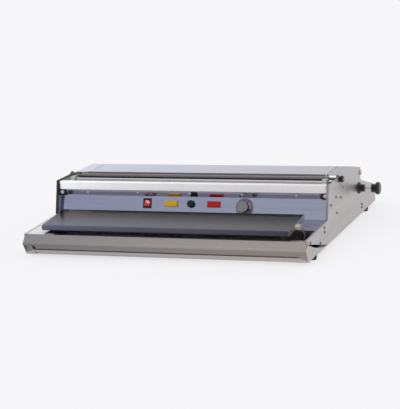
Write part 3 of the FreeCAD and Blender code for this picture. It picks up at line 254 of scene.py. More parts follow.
# Satin: the lid and the rests at its ends share one pale blue tone, which drifts to grey at the right end as
# painted reflection.
lid_steel = brushed_sheet("stainless_satin_lid", "#CACCE2", "#B4B4BC", "X", rough=(0.26, 0.38), streak=0.03)
dark_steel = brushed_sheet("stainless_rolled_inside", "#8F8C8A", "#8F8C8A", "X", rough=(0.35, 0.5),
                           streak=0.06)
# The hem and the inner faces were never brushed: they keep the rough finish of the rolling mill.
# Their tone is partly painted light: near white at the left end, and on the inner faces lighter
# than the rest of the sheet, where it stands for light reaching into the tray.
hem_steel = brushed_sheet("stainless_rolled_hem", "#E0E0E8", "#B4B3BA", "Y", rough=(0.4, 0.55), streak=0.03)
painted_light_inner_steel = brushed_sheet("stainless_rolled_inner_painted_light", "#D6D6DC", "#B4ACAA", "Y", rough=(0.5, 0.65),
                            streak=0.04, metallic=0.35)

dress(rail_steel, "front_rail", "rear_rail")
dress_faces(shaded_recess_steel, "front_rail", lambda normal, centre: normal.y < -PARTLY and normal.z < OVERHANG)
dress_faces(skirt_steel, "front_rail", lambda normal, centre: normal.y < -PARTLY and centre.z < SKIRT_HIGH)
dress_faces(side_steel, "front_rail", lambda normal, centre: abs(normal.x) > SQUARELY)
dress(hem_steel, "side_plate_left", "side_plate_right")
for side, sign in (("left", -1), ("right", 1)):
    dress_faces(side_steel, f"side_plate_{side}", lambda normal, centre: normal.x * sign > SQUARELY)
    dress_faces(painted_light_inner_steel, f"side_plate_{side}", lambda normal, centre: normal.x * sign < -SQUARELY)
dress(panel_steel, "control_panel")
dress_faces(visor_steel, "control_panel",
            lambda normal, centre: normal.z < -PARTLY and centre.z > VISOR_LOW)
dress_faces(apron_steel, "control_panel", lambda normal, centre: centre.z < CREASE_HIGH)
dress(lid_steel, "film_lid", "lid_rest_left", "lid_rest_right")
dress(painted_light_inner_steel, "tray_wall")
dress(dark_steel, "electrics_cover", "plate_bracket_left", "plate_bracket_right")
print("stainless sheet:", rail_steel.name, side_steel.name, panel_steel.name)

# %% [markdown]
# The floor pan is the same steel as the rest, dull from handling under the film roll. Under the
# hot plate it is painted near black as painted shade, as far as the wall behind the tray. Both
# tones can sit in one material, which changes over at that wall.

# %% Pan: dull steel with painted shade under the hot plate
# Near black, for the painted shade under the hot plate.
PAN_SHADE = "#141315"
WALL_FRONT, WALL_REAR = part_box("tray_wall")[0][1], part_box("tray_wall")[1][1]
pan_steel = brushed_sheet("stainless_rolled_pan", "#A09EA0", "#A09C9A", "X", rough=(0.42, 0.56), streak=0.06)
place = add(pan_steel, "ShaderNodeTexCoord")
parts = add(pan_steel, "ShaderNodeSeparateXYZ", Vector=place.outputs["Object"])
unshaded_share = add(pan_steel, "ShaderNodeMapRange", i0=parts.outputs["Y"], i1=WALL_FRONT, i2=WALL_REAR)
shader = pan_steel.node_tree.nodes["Principled BSDF"]
steel_tone = shader.inputs["Base Color"].links[0].from_socket
shaded_pan_tone = add(pan_steel, "ShaderNodeMix", {"data_type": "RGBA"}, i0=unshaded_share.outputs["Result"],
             i6=linear(PAN_SHADE), i7=steel_tone)
pan_steel.node_tree.links.new(shaded_pan_tone.outputs[2], shader.inputs["Base Color"])
pan_steel.node_tree.links.new(unshaded_share.outputs["Result"], shader.inputs["Metallic"])
dress(pan_steel, "base_pan")
print("pan changes tone at", round(WALL_FRONT / MM), "mm")

# %% [markdown]
# Moulded and coated pieces are all a skin with a fine grain: the grit of the mould, the weave of
# a sleeve or the dust in a paint. They could each have a material of their own, but one recipe
# shows what they share: a fine grain in colour and relief, a broader wear that changes how shiny
# they are, and corners rounded enough to catch a little light.

# %% Moulded and coated surfaces

# Wear comes in patches this many grains wide.
WEAR_GRAINS = 40
MOULD_CORNER_MM = 0.6
GRAIN_STRENGTH = 0.35


def coated(name, colour, rough, grain_mm, depth_mm, fleck=0.12, ior=1.5, right=None):
    """Moulded or coated surface with a fine grain in colour and relief."""
    material = fresh(name)
    place = add(material, "ShaderNodeTexCoord")
    patterns = []
    for size, detail in ((grain_mm, 4.0), (grain_mm * WEAR_GRAINS, 3.0)):
        laid = add(material, "ShaderNodeMapping", Vector=place.outputs["Object"], Scale=per_mm(size))
        patterns.append(add(material, "ShaderNodeTexNoise", Vector=laid.outputs["Vector"],
                            Scale=1.0, Detail=detail).outputs["Fac"])
    grain, wear = patterns
    flecks = [add(material, "ShaderNodeMapRange", i0=pattern, i1=NOISE_LOW, i2=NOISE_HIGH,
                  i3=1 - fleck, i4=1 + fleck) for pattern in patterns]
    shade = add(material, "ShaderNodeMath", {"operation": "MULTIPLY"},
                i0=flecks[0].outputs["Result"], i1=flecks[1].outputs["Result"])
    tone = add(material, "ShaderNodeVectorMath", {"operation": "SCALE"}, Scale=shade.outputs["Value"],
               i0=across(material, colour, right) if right else linear(colour)[:3])
    corner = add(material, "ShaderNodeBevel", {"samples": EDGE_SAMPLES}, Radius=MOULD_CORNER_MM * MM)
    relief = add(material, "ShaderNodeBump", Strength=GRAIN_STRENGTH, Distance=depth_mm * MM,
                 Height=grain, Normal=corner.outputs["Normal"])
    dullness = add(material, "ShaderNodeMapRange", i0=wear, i1=NOISE_LOW, i2=NOISE_HIGH,
                   i3=rough[0], i4=rough[1])
    shader = add(material, "ShaderNodeBsdfPrincipled", Base_Color=tone.outputs["Vector"], IOR=ior,
                 Roughness=dullness.outputs["Result"], Normal=relief.outputs["Normal"])
    add(material, "ShaderNodeOutputMaterial", Surface=shader.outputs["BSDF"])
    return material


print("wear patches are", WEAR_GRAINS, "grains wide")

# %% [markdown]
# The hot plate wears a sleeve of glass cloth coated with non-stick resin. The cloth is a plain
# weave. It could be modelled thread by thread, but the resin fills it to a low satin sheen, so
# two crossed waves in the bump are enough. Its tone sinks to nearly black toward the rear as a
# painted reflection of the dark gap under the panel, and its bluish left end is a painted
# reflection of the panel. Baked marks along the plate keep it uneven.

# %% Coated glass cloth

# Threads of this cloth are 0.4 mm apart; they are drawn 2 mm apart so that they show.
THREAD_MM = 2.0
# Baked marks are dragged along the plate.
BAKED_MM = (160, 30, 30)
# The painted shade is full this far ahead of the rear edge, where this share of the colour is left.
REAR_SHADE_AHEAD = 15 * MM
REAR_SHADE_SHARE = 0.04
WEAVE_DEPTH_MM = 0.12
WEAVE_STRENGTH = 0.04
SLEEVE_CORNER_MM = 1.0
PLATE_FRONT, PLATE_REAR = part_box("hot_plate_cloth")[0][1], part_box("hot_plate_cloth")[1][1]


def woven_cloth(name, left, right):
    """Plain weave of two crossed waves, filled with resin to a satin face, with painted shade toward the
    rear.
    """
    material = fresh(name)
    place = add(material, "ShaderNodeTexCoord")
    laid = add(material, "ShaderNodeMapping", Vector=place.outputs["Object"],
               Scale=per_mm(THREAD_MM * 2 * math.pi))
    warp, weft = [add(material, "ShaderNodeTexWave", {"bands_direction": axis, "wave_profile": "SIN"},
                      Vector=laid.outputs["Vector"], Scale=math.pi, Distortion=0.4, Detail=1.0)
                  for axis in ("X", "Y")]
    weave = add(material, "ShaderNodeMath", {"operation": "MULTIPLY"},
                i0=warp.outputs["Fac"], i1=weft.outputs["Fac"])
    dragged = add(material, "ShaderNodeMapping", Vector=place.outputs["Object"], Scale=per_mm(*BAKED_MM))
    baked = add(material, "ShaderNodeTexNoise", Vector=dragged.outputs["Vector"],
                Scale=1.0, Detail=5.0, Roughness=0.6)

    depth = add(material, "ShaderNodeSeparateXYZ", Vector=place.outputs["Object"])
    # Painted shade: the tone sinks toward the rear edge.
    rear_shade = add(material, "ShaderNodeMapRange", {"interpolation_type": "SMOOTHSTEP"},
                 i0=depth.outputs["Y"], i1=PLATE_FRONT, i2=PLATE_REAR - REAR_SHADE_AHEAD, i3=1.0, i4=REAR_SHADE_SHARE)
    patches = add(material, "ShaderNodeMapRange", i0=baked.outputs["Fac"], i1=NOISE_LOW, i2=NOISE_HIGH,
                  i3=0.9, i4=1.1)
    mottle = add(material, "ShaderNodeMath", {"operation": "MULTIPLY"},
                 i0=rear_shade.outputs["Result"], i1=patches.outputs["Result"])
    tone = add(material, "ShaderNodeVectorMath", {"operation": "SCALE"},
               i0=across(material, left, right), Scale=mottle.outputs["Value"])

    corner = add(material, "ShaderNodeBevel", {"samples": EDGE_SAMPLES}, Radius=SLEEVE_CORNER_MM * MM)
    relief = add(material, "ShaderNodeBump", Strength=WEAVE_STRENGTH, Distance=WEAVE_DEPTH_MM * MM,
                 Height=weave.outputs["Value"], Normal=corner.outputs["Normal"])
    dullness = add(material, "ShaderNodeMapRange", i0=baked.outputs["Fac"], i1=NOISE_LOW, i2=NOISE_HIGH,
                   i3=0.12, i4=0.2)
    shader = add(material, "ShaderNodeBsdfPrincipled", Base_Color=tone.outputs["Vector"], IOR=1.42,
                 Specular_IOR_Level=0.15, Roughness=dullness.outputs["Result"],
                 Normal=relief.outputs["Normal"])
    add(material, "ShaderNodeOutputMaterial", Surface=shader.outputs["BSDF"])
    return material


coated_cloth = woven_cloth("glass_cloth_coated", "#58596C", "#3A383C")
dress(coated_cloth, "hot_plate_cloth")
print("hot plate:", coated_cloth.name, round((PLATE_REAR - PLATE_FRONT) / MM), "mm deep")

# %% [markdown]
# The small parts are catalogue items: black ABS knobs and blocks, a white fluoropolymer sleeve,
# nylon cones, rubber feet, a steatite terminal. Each could have a grain of its own, but what
# tells them apart at arm's length is tone and sheen, so all take the recipe for moulded pieces
# with their own colour, roughness and grain. Rubber is dull, nylon is waxy, ABS shines softly.

# %% Moulded plastics, rubber and ceramic
black_abs = coated("abs_black", "#0A0A0C", (0.32, 0.46), 0.8, 0.04, ior=1.54)
dark_red_abs = coated("abs_dark_red", "#3A0E14", (0.3, 0.42), 0.8, 0.03, ior=1.54)
# The sleeve's right end is greyer as painted shade, for light that falls from the left.
white_ptfe = coated("ptfe_white", "#FCFDFF", (0.30, 0.42), 3.0, 0.02, fleck=0.02, ior=1.35,
                    right="#DEDADC")
grey_nylon = coated("nylon_grey", "#A6A8AA", (0.4, 0.55), 1.2, 0.04, fleck=0.05, ior=1.53)
rubber_and_trim_shade = coated("rubber_black_and_painted_shade", "#1B1B1C", (0.65, 0.8), 1.0, 0.06, ior=1.52)
lid_gap_shade_rubber = coated("rubber_grey_painted_shade", "#6A686A", (0.5, 0.65), 1.0, 0.04, ior=1.52)
mat_silicone = coated("silicone_red_brown", "#7E3A30", (0.5, 0.62), 1.5, 0.05, ior=1.41)
steatite = coated("steatite_white", "#B0A89C", (0.45, 0.6), 0.8, 0.05, fleck=0.03, ior=1.6)
lead_sleeve = coated("glass_braid_grey", "#4A4846", (0.5, 0.65), 0.8, 0.08, ior=1.45)
case_cream = coated("thermoset_cream", "#CFC8B4", (0.4, 0.52), 1.0, 0.04, fleck=0.04, ior=1.5)
dress(dark_red_abs, "rocker_housing")
dress(black_abs, "cutter_block_left", "cutter_block_right", "fuse_holder", "fuse_cap",
      "spindle_knob", "spindle_nut", "cable_gland", "feed_knob_left", "feed_knob_right",
      "spindle_bush_left", "spindle_bush_right")
dress(white_ptfe, "cutter_sleeve")
dress(grey_nylon, "core_cone_left", "core_cone_right", "nip_bearing_left", "nip_bearing_right")
# The black trim along the left side plate's front edge is painted shade, where the plate's inner face lies
# in shadow.
dress(rubber_and_trim_shade, "rubber_feet", "edge_trim_left")
# The grey strip under the lid's front edge is painted shade, for the dark gap between the lid's lip and the
# feed roller.
dress(lid_gap_shade_rubber, "lid_strip")
dress(mat_silicone, "heater_mat")
dress(steatite, "heater_terminal")
dress(lead_sleeve, "heater_leads")
dress(case_cream, "thermostat")
print("moulded:", black_abs.name, white_ptfe.name, grey_nylon.name, rubber_and_trim_shade.name)

# %% [markdown]
# The lamps are small boxes of tinted polycarbonate with ribs moulded inside, which break up the
# light of the bulb. Real glass-like depth would need transmission and a bulb behind it, and at
# this size the lens only reads as a saturated, shiny colour. So it is an opaque tint with the
# ribs as fine stripes in tone and relief, under a thin clear coat. The rocker is gloss ABS.

# %% Tinted lenses and the rocker
RIB_MM = 1.6
RIB_DEPTH_MM = 0.15
RIB_STRENGTH = 0.2


def tinted_lens(name, colour):
    """Polished tinted plastic with prismatic ribs inside."""
    material = fresh(name)
    place = add(material, "ShaderNodeTexCoord")
    laid = add(material, "ShaderNodeMapping", Vector=place.outputs["Object"],
               Scale=per_mm(RIB_MM * 2 * math.pi))
    ribs = add(material, "ShaderNodeTexWave", {"bands_direction": "X", "wave_profile": "SIN"},
               Vector=laid.outputs["Vector"], Scale=math.pi)
    stripes = add(material, "ShaderNodeMapRange", i0=ribs.outputs["Fac"], i3=0.8, i4=1.15)
    tone = add(material, "ShaderNodeVectorMath", {"operation": "SCALE"},
               i0=linear(colour)[:3], Scale=stripes.outputs["Result"])
    relief = add(material, "ShaderNodeBump", Strength=RIB_STRENGTH, Distance=RIB_DEPTH_MM * MM,
                 Height=ribs.outputs["Fac"])
    shader = add(material, "ShaderNodeBsdfPrincipled", Base_Color=tone.outputs["Vector"], Roughness=0.18,
                 IOR=1.58, Specular_IOR_Level=0.25, Coat_Weight=0.1, Coat_Roughness=0.05,
                 Normal=relief.outputs["Normal"])
    add(material, "ShaderNodeOutputMaterial", Surface=shader.outputs["BSDF"])
    return material


yellow_lens = tinted_lens("polycarbonate_yellow", "#CC9E00")
red_lens = tinted_lens("polycarbonate_red", "#A40006")
red_abs = coated("abs_red", "#B81A22", (0.2, 0.3), 0.8, 0.02, ior=1.54)
dress(yellow_lens, "yellow_lamp")
dress(red_lens, "red_lamp")
dress(red_abs, "rocker")
print("lenses:", yellow_lens.name, red_lens.name)

# %% [markdown]
# Rollers, spindles and screws are turned on a lathe, which leaves faint marks round the axis, and
# most are then plated. A true spiral groove would be far finer than a pixel. A noise squeezed
# along X, the axis of nearly all of them, gives rings that vary a little in tone and shine. Where
# a roller has run against film for years its marks are polished out, so they are set wider.

# %% Plated and bare metals
# Marks run this far round the piece before they fade.
MARK_LENGTH_MM = 30
MARK_DEPTH_MM = 0.02
MARK_STRENGTH = 0.03


def turned_metal(name, colour, rough, mark_mm=0.8):
    """Bright metal with faint marks round the turning axis, which lies along X."""
    material = fresh(name)
    place = add(material, "ShaderNodeTexCoord")
    laid = add(material, "ShaderNodeMapping", Vector=place.outputs["Object"],
               Scale=per_mm(mark_mm * 3, MARK_LENGTH_MM, MARK_LENGTH_MM))
    marks = add(material, "ShaderNodeTexNoise", Vector=laid.outputs["Vector"], Scale=1.0, Detail=4.0)
    rings = add(material, "ShaderNodeMapRange", i0=marks.outputs["Fac"], i1=NOISE_LOW, i2=NOISE_HIGH,
                i3=0.95, i4=1.04)
    tone = add(material, "ShaderNodeVectorMath", {"operation": "SCALE"},
               i0=linear(colour)[:3], Scale=rings.outputs["Result"])
    relief = add(material, "ShaderNodeBump", Strength=MARK_STRENGTH, Distance=MARK_DEPTH_MM * MM,
                 Height=marks.outputs["Fac"])
    dullness = add(material, "ShaderNodeMapRange", i0=marks.outputs["Fac"], i1=NOISE_LOW, i2=NOISE_HIGH,
                   i3=rough[0], i4=rough[1])
    shader = add(material, "ShaderNodeBsdfPrincipled", Base_Color=tone.outputs["Vector"], Metallic=1.0,
                 Roughness=dullness.outputs["Result"], Normal=relief.outputs["Normal"])
    add(material, "ShaderNodeOutputMaterial", Surface=shader.outputs["BSDF"])
    return material


# The feed roller is a darker copy of the nip roller's steel: painted shade under the lid's front edge.
shaded_feed_steel = turned_metal("roller_steel_painted_shade", "#8C8A8C", (0.24, 0.3), mark_mm=20)
nip_steel = turned_metal("roller_steel_ground", "#C8C6C8", (0.24, 0.3), mark_mm=20)
screw_steel = turned_metal("screw_steel_dark", "#6C6664", (0.3, 0.45))
satin_nickel = turned_metal("nickel_satin", "#F4F2F2", (0.4, 0.5))
nickel_plate = turned_metal("nickel_plate", "#C9C8C4", (0.10, 0.2))
chrome_plate = turned_metal("chrome_plated_abs", "#A09CA8", (0.08, 0.14))
zinc_plate = turned_metal("zinc_plated_steel", "#84867E", (0.3, 0.45), mark_mm=3)
mill_aluminium = turned_metal("aluminium_mill_finish", "#B9BABD", (0.3, 0.42), mark_mm=2)
bezel_aluminium = turned_metal("aluminium_bezel", "#9FA4B4", (0.25, 0.35), mark_mm=2)
dress(shaded_feed_steel, "feed_roller")
dress(nip_steel, "nip_roller")
dress(nickel_plate, "spindle_shaft_left", "spindle_shaft_right", "lid_pin_left", "lid_pin_right")
dress(screw_steel, "side_screws_left", "side_screws_right")
dress(satin_nickel, "visor_screws", "cutter_block_screws")
dress(chrome_plate, "thermostat_knob")
dress(zinc_plate, "roller_holder_left", "roller_holder_right", "feed_roller_shaft")
dress(mill_aluminium, "cutter_bar", "hot_plate")
dress(bezel_aluminium, "thermostat_bezel")
print("metals:", shaded_feed_steel.name, nickel_plate.name, zinc_plate.name, mill_aluminium.name)

# %% [markdown]
# The panel leans back, so anything printed on its controls is laid out along its own two
# directions. They could be read off a face, but the lean is known: 14 mm back in 40 mm of rise.
# New pieces are plain meshes. Each rides on the body that carries it, so it turns and slides
# with it.

# %% Directions of the panel, and new pieces
PANEL_BACK, PANEL_RISE = 14, 40
PANEL_LEAN = math.atan2(PANEL_BACK, PANEL_RISE)
PANEL_X = Vector((1, 0, 0))
PANEL_UP = Vector((0, math.sin(PANEL_LEAN), math.cos(PANEL_LEAN)))
PANEL_OUT = Vector((0, -math.cos(PANEL_LEAN), math.sin(PANEL_LEAN)))
# Print and raised marks stand this far off the face below, so that the two don't mix.
PROUD = 0.05 * MM


def piece_from(name, points, faces, material, body):
    """A new piece that rides on a body."""
    mesh = bpy.data.meshes.new(name)
    mesh.from_pydata([tuple(point) for point in points], [], faces)
    mesh.materials.append(material)
    item = bpy.data.objects.new(name, mesh)
    bpy.context.scene.collection.objects.link(item)
    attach(item, body)
    return item


print("panel leans back", round(math.degrees(PANEL_LEAN), 1), "degrees")

# %% [markdown]
# The dial of the thermostat has a printed ring: a dark red arc that grows thicker toward the hot
# end. Print could be a texture, but a thin raised mesh stays sharp however near the eye comes.
# The arc is a strip of four-sided faces between two radii, one of which shrinks step by step.

# %% Dial arc
RING_OUTER = 17.6 * MM
RING_THIN = 0.3 * MM
RING_THICK = 2.0 * MM
RING_STEPS = 54
SWEEP_DEGREES = 270

bezel_low, bezel_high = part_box("thermostat_bezel")
bezel_front = max(vertex.co.dot(PANEL_OUT) for vertex in NODES["thermostat_bezel"].data.vertices)
dial_middle = (Vector(bezel_low) + Vector(bezel_high)) / 2
dial_middle += PANEL_OUT * (bezel_front + PROUD - dial_middle.dot(PANEL_OUT))


def round_dial(radius, degrees):
    """A point on the dial at a radius and an angle clockwise from the top."""
    turn = math.radians(degrees)
    return dial_middle + PANEL_X * (radius * math.sin(turn)) + PANEL_UP * (radius * math.cos(turn))


points = []
for i in range(RING_STEPS + 1):
    degrees = -SWEEP_DEGREES / 2 + SWEEP_DEGREES * i / RING_STEPS
    inner = RING_OUTER - RING_THIN - (RING_THICK - RING_THIN) * i / RING_STEPS
    points += [round_dial(inner, degrees), round_dial(RING_OUTER, degrees)]
faces = [(2 * i, 2 * i + 1, 2 * i + 3, 2 * i + 2) for i in range(RING_STEPS)]
red_ink = coated("ink_dark_red", "#6E1420", (0.4, 0.5), 0.6, 0.01)
piece_from("dial_ring_print", points, faces, red_ink, "machine")
print("dial arc:", len(faces), "faces over", SWEEP_DEGREES, "degrees")

# %% [markdown]
# Inside the arc stand plain numbers, evenly spaced from cold to hot. Blender can write them as
# text, but a text object stays a curve, and its outline is only filled when it is drawn. Turned
# into a mesh, each number can be laid out on the leaning dial, and all six become one piece.

# %% Dial numbers
NUMBER_AT = 14.2 * MM
NUMBER_HIGH = 2.4 * MM
DIAL_NUMBERS = ("0", "5", "10", "15", "20", "25")

points, faces = [], []
for i, text in enumerate(DIAL_NUMBERS):
    curve = bpy.data.curves.new("number", "FONT")
    curve.body = text
    curve.size = NUMBER_HIGH
    curve.align_x = "CENTER"
    curve.align_y = "CENTER"
    holder = bpy.data.objects.new("number", curve)
    flat = bpy.data.meshes.new_from_object(holder)
    start = len(points)
    at = round_dial(NUMBER_AT, -SWEEP_DEGREES / 2 + SWEEP_DEGREES * i / (len(DIAL_NUMBERS) - 1))
    points += [at + PANEL_X * vertex.co.x + PANEL_UP * vertex.co.y for vertex in flat.vertices]
    faces += [tuple(start + index for index in face.vertices) for face in flat.polygons]
    bpy.data.objects.remove(holder)
    bpy.data.curves.remove(curve)
    bpy.data.meshes.remove(flat)
black_ink = coated("ink_black", "#161618", (0.4, 0.5), 0.6, 0.01)
piece_from("dial_numbers", points, faces, black_ink, "machine")
print("dial numbers:", len(faces), "faces")

# %% [markdown]
# The rocker carries the usual pale bar and ring for on and off. On the real one they are moulded
# in. They could be coloured faces, but the rocker's own faces are too large for that, so they are
# two flat marks just proud of its upper and lower slope. They ride with it when it tilts.

# %% Rocker marks
BAR_HALF = (0.8 * MM, 2.6 * MM)
CIRCLE_INNER = 1.3 * MM
CIRCLE_OUTER = 2.6 * MM
CIRCLE_TURNS = 32
# The two slopes are the rocker's large faces that look out of the panel.
FRONT_FACING = 0.85
SLOPE_SHARE = 0.3

fronts = [face for face in NODES["rocker"].data.polygons if face.normal.dot(PANEL_OUT) > FRONT_FACING]
largest = max(face.area for face in fronts)
slopes = [face for face in fronts if face.area > largest * SLOPE_SHARE]
upper, lower = sorted(slopes, key=lambda face: -face.center.dot(PANEL_UP))[:2]


def on_face(face, sideways, upward):
    """A point just proud of a face, from steps along the panel and up the face."""
    rise = face.normal.cross(PANEL_X)
    rise = rise if rise.dot(PANEL_UP) > 0 else -rise
    return face.center + face.normal * PROUD + PANEL_X * sideways + rise.normalized() * upward


pale_ink = coated("ink_pale", "#F2E4E6", (0.4, 0.5), 0.6, 0.01)
points = [on_face(upper, x * BAR_HALF[0], y * BAR_HALF[1])
          for x, y in ((-1, -1), (1, -1), (1, 1), (-1, 1))]
piece_from("rocker_bar_mark", points, [(0, 1, 2, 3)], pale_ink, "rocker")
points = []
for i in range(CIRCLE_TURNS):
    angle = 2 * math.pi * i / CIRCLE_TURNS
    points += [on_face(lower, radius * math.sin(angle), radius * math.cos(angle))
               for radius in (CIRCLE_INNER, CIRCLE_OUTER)]
faces = [(2 * i, 2 * i + 1, (2 * i + 3) % (2 * CIRCLE_TURNS), (2 * i + 2) % (2 * CIRCLE_TURNS))
         for i in range(CIRCLE_TURNS)]
piece_from("rocker_ring_mark", points, faces, pale_ink, "rocker")
print("rocker marked on faces of", round(upper.area * 1e6), "and", round(lower.area * 1e6), "square mm")

# %% [markdown]
# At the left end of the tray a ledge of pale sheet closes the gap between the side plate and the
# hot plate. It is bare bent sheet with a lip turned down along its inner edge. A flat plane would
# do from above, but its edge would look like paper from the side. So its outline is a short
# profile with the sheet's gauge in it, pushed along the slope of the tray's hem. It and the hem
# share one finish, because in the light they read as one pale sheet.

# %% Ledge at the left end of the tray
GAUGE = 1.0 * MM
SLACK = 0.3 * MM
LIP = 5 * MM
HEM_WIDE = 5 * MM
# The ledge rests on the front rail's flange, where its lip dies out, and meets the hem at the rear.
LEDGE_ENDS = ((-276 * MM, 49.1 * MM, GAUGE * 1.05), (-126 * MM, 55.5 * MM, LIP))


def bent_strip(name, outer, inner, ends, material):
    """Flat strip between two X values, run between two (y, z, lip) ends, with a lip at its inner edge."""
    step = math.copysign(GAUGE, outer - inner)
    points = []
    for y, z, lip in ends:
        profile = [(outer, 0), (inner, 0), (inner, -lip), (inner + step, -lip),
                   (inner + step, -GAUGE), (outer, -GAUGE)]
        points += [(x, y, z + drop) for x, drop in profile]
    count = len(profile)
    faces = [(i, (i + 1) % count, (i + 1) % count + count, i + count) for i in range(count)]
    for start in (0, count):
        faces += [(start, start + 1, start + 4, start + 5), (start + 1, start + 2, start + 3, start + 4)]
    piece = piece_from(name, points, faces, material, "machine")
    shell = bmesh.new()
    shell.from_mesh(piece.data)
    bmesh.ops.recalc_face_normals(shell, faces=shell.faces)
    shell.to_mesh(piece.data)
    shell.free()
    print(name, round(abs(outer - inner) / MM), "mm wide")


ledge_steel = brushed_sheet("stainless_rolled_ledge", "#E6E6EC", "#D8D8DC", "Y", rough=(0.4, 0.55),
                            streak=0.04, metallic=0.6)
bent_strip("tray_ledge_left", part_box("side_plate_left")[0][0] + HEM_WIDE + SLACK,
           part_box("plate_bracket_left")[0][0] - SLACK, LEDGE_ENDS, ledge_steel)
dress_faces(ledge_steel, "side_plate_left",
            lambda normal, centre: normal.z > SQUARELY and centre.y < LEDGE_ENDS[1][0])

# %% [markdown]
# Ahead of the lid each side plate's top flange runs on toward the feed roller. It could be cut
# to the roller's holder, but nothing of that shows under the roller. The same bent strip gives
# it: flush with the flange behind it, with its lip down beside the film.

# %% Flange ends
FLANGE_TOP = 124 * MM
FLANGE_ENDS = ((-9.5 * MM, FLANGE_TOP, LIP), (17.2 * MM, FLANGE_TOP, LIP))
FLANGE_REACH = 30 * MM
for side, sign in (("left", -1), ("right", 1)):
    wall = abs(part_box(f"side_plate_{side}")[max(sign, 0)][0]) - GAUGE - SLACK
    bent_strip(f"flange_end_{side}", sign * wall, sign * (wall - FLANGE_REACH), FLANGE_ENDS, hem_steel)

# %% [markdown]
# The machine stands on a white paper sweep. A plain white floor would either come out grey or
# need so much light that the steel burns out. So the paper glows by itself for the eye and for
# what the metal mirrors, which keeps it white, and is ordinary matt paper for the rest, which
# keeps a faint shadow under the machine.

# %% Floor
FLOOR_HALF = 30.0
# Just under the feet, so that the two faces don't mix.
FLOOR_DROP = 0.4 * MM
FIBRE_MM = 4
PAPER_WHITE = "#F7F6F8"
PAPER_GLOW = 0.75

floor_mesh = bpy.data.meshes.new("floor")
floor_mesh.from_pydata([(-FLOOR_HALF, -FLOOR_HALF, 0), (FLOOR_HALF, -FLOOR_HALF, 0),
                        (FLOOR_HALF, FLOOR_HALF, 0), (-FLOOR_HALF, FLOOR_HALF, 0)], [], [(0, 1, 2, 3)])
floor = bpy.data.objects.new("floor", floor_mesh)
bpy.context.scene.collection.objects.link(floor)
floor.location.z = -FLOOR_DROP


def looked_at(material, *kinds):
    """One for rays of the named kinds, nought for the rest."""
    path = add(material, "ShaderNodeLightPath")
    seen = path.outputs[kinds[0]]
    for kind in kinds[1:]:
        seen = add(material, "ShaderNodeMath", {"operation": "MAXIMUM"}, i0=seen,
                   i1=path.outputs[kind]).outputs["Value"]
    return seen


sweep = fresh("paper_sweep")
place = add(sweep, "ShaderNodeTexCoord")
laid = add(sweep, "ShaderNodeMapping", Vector=place.outputs["Object"], Scale=per_mm(FIBRE_MM))
fibre = add(sweep, "ShaderNodeTexNoise", Vector=laid.outputs["Vector"], Scale=1.0, Detail=3.0)
mottle = add(sweep, "ShaderNodeMapRange", i0=fibre.outputs["Fac"], i1=NOISE_LOW, i2=NOISE_HIGH,
             i3=0.985, i4=1.0)
tone = add(sweep, "ShaderNodeVectorMath", {"operation": "SCALE"},
           i0=linear(PAPER_WHITE)[:3], Scale=mottle.outputs["Result"])
paper = add(sweep, "ShaderNodeBsdfDiffuse", Color=tone.outputs["Vector"])
glow = add(sweep, "ShaderNodeEmission", Color=linear(PAPER_WHITE), Strength=1.0)
share = add(sweep, "ShaderNodeMath", {"operation": "MULTIPLY"}, i1=PAPER_GLOW,
            i0=looked_at(sweep, "Is Camera Ray", "Is Glossy Ray", "Is Transmission Ray"))
both = add(sweep, "ShaderNodeMixShader", i0=share.outputs["Value"], i1=paper.outputs["BSDF"],
           i2=glow.outputs["Emission"])
add(sweep, "ShaderNodeOutputMaterial", Surface=both.outputs["Shader"])
floor.data.materials.append(sweep)
print("floor laid,", round(2 * FLOOR_HALF), "m wide")

# %% [markdown]
# Polished sheet shows its room. A modelled room would take many lamps and cards, and a plain
# white sky makes steel look like paper. So the sky is even for the light that falls on the
# machine, white for the eye, and in two tones for what the metal mirrors: pale behind the
# machine, dim in front of it, as in a room that is darker on the camera's side.

# %% Sky
SKY_FOR_LIGHT = 0.78
SKY_FOR_EYE = 0.94
SKY_BEHIND = 0.94
SKY_IN_FRONT = 0.52
# The mirrored sky turns from dim to pale between these, from -1 in front to 1 behind.
TURN_FROM, TURN_TO = -0.55, 0.35

world = bpy.data.worlds.new("studio")
bpy.context.scene.world = world
world.use_nodes = True
world.node_tree.nodes.clear()
toward = add(world, "ShaderNodeTexCoord")
along = add(world, "ShaderNodeSeparateXYZ", Vector=toward.outputs["Generated"])
room = add(world, "ShaderNodeMapRange", {"interpolation_type": "SMOOTHSTEP"}, i0=along.outputs["Y"],
           i1=TURN_FROM, i2=TURN_TO, i3=SKY_IN_FRONT, i4=SKY_BEHIND)
plain = add(world, "ShaderNodeMapRange", i0=looked_at(world, "Is Camera Ray", "Is Transmission Ray"),
            i3=SKY_FOR_LIGHT, i4=SKY_FOR_EYE)
strength = add(world, "ShaderNodeMix", {"data_type": "FLOAT"}, i0=looked_at(world, "Is Glossy Ray"),
               i2=plain.outputs["Result"], i3=room.outputs["Result"])
sky = add(world, "ShaderNodeBackground", Color=linear("#FFFFFF"), Strength=strength.outputs[0])
add(world, "ShaderNodeOutputWorld", Surface=sky.outputs["Background"])
print("sky:", SKY_FOR_LIGHT, "for light,", SKY_FOR_EYE, "for the eye")

# %% [markdown]
# Two suns give the light a direction. Area lamps would do too, but they fade with distance, and
# a sun lights every part alike. The key sun is as wide as a large soft box, so its shadow stays
# soft. Flat sheet would show it as a blown patch, so only the small, weak one is seen in metal,
# where it sets the sparks on screws and edges.

# %% Suns


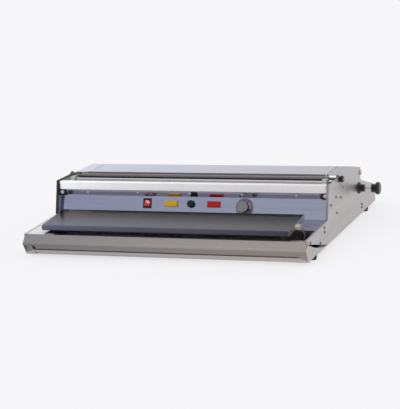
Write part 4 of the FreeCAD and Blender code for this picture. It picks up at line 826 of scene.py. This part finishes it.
def sun(name, azimuth, elevation, strength, spread, mirrored=True):
    """Soft sun shining from a compass direction and height, in degrees."""
    lamp = bpy.data.lights.new(name, "SUN")
    lamp.energy = strength
    lamp.angle = math.radians(spread)
    item = bpy.data.objects.new(name, lamp)
    bpy.context.scene.collection.objects.link(item)
    a, e = math.radians(azimuth), math.radians(elevation)
    toward = Vector((math.sin(a) * math.cos(e), -math.cos(a) * math.cos(e), math.sin(e)))
    item.rotation_euler = toward.to_track_quat("Z", "Y").to_euler()
    item.visible_glossy = mirrored
    return item


sun("key_sun", -20, 40, 0.9, 50, mirrored=False)
sun("spark_sun", 55, 50, 0.15, 8)
print("two suns placed")

# %% [markdown]
# The camera stands where the photograph was taken from. It could be placed by eye, but its
# place, turn and focal length were fitted to the corners of the machine in the photograph, so
# they are plain numbers here. A long lens from three metres away keeps the long edges nearly
# parallel. Blender's camera looks down its own -Z axis, so "behind" is its Z.

# %% Camera
CAMERA_AT = Vector((1.06955, -2.90038, 0.72512))
AZIMUTH, ELEVATION, ROLL = (math.radians(angle) for angle in (20.5412, 12.2351, -3.3796))
FOCAL_PIXELS = 1474.97
# The lens fills the longer side of the frame, which is its height.
FRAME_PIXELS = 409
SENSOR_MM = 36

behind = Vector((math.sin(AZIMUTH) * math.cos(ELEVATION), -math.cos(AZIMUTH) * math.cos(ELEVATION),
                 math.sin(ELEVATION)))
level_right = Vector((math.cos(AZIMUTH), math.sin(AZIMUTH), 0))
level_up = behind.cross(level_right)
right = level_right * math.cos(ROLL) + level_up * math.sin(ROLL)
up = level_up * math.cos(ROLL) - level_right * math.sin(ROLL)
lens = bpy.data.cameras.new("camera")
lens.sensor_width = SENSOR_MM
lens.lens = FOCAL_PIXELS * SENSOR_MM / FRAME_PIXELS
camera = bpy.data.objects.new("camera", lens)
bpy.context.scene.collection.objects.link(camera)
camera.matrix_world = Matrix((right, up, behind)).transposed().to_4x4()
camera.location = CAMERA_AT
bpy.context.scene.camera = camera
bpy.context.scene.view_settings.view_transform = "Standard"
print(f"lens {lens.lens:.1f} mm")
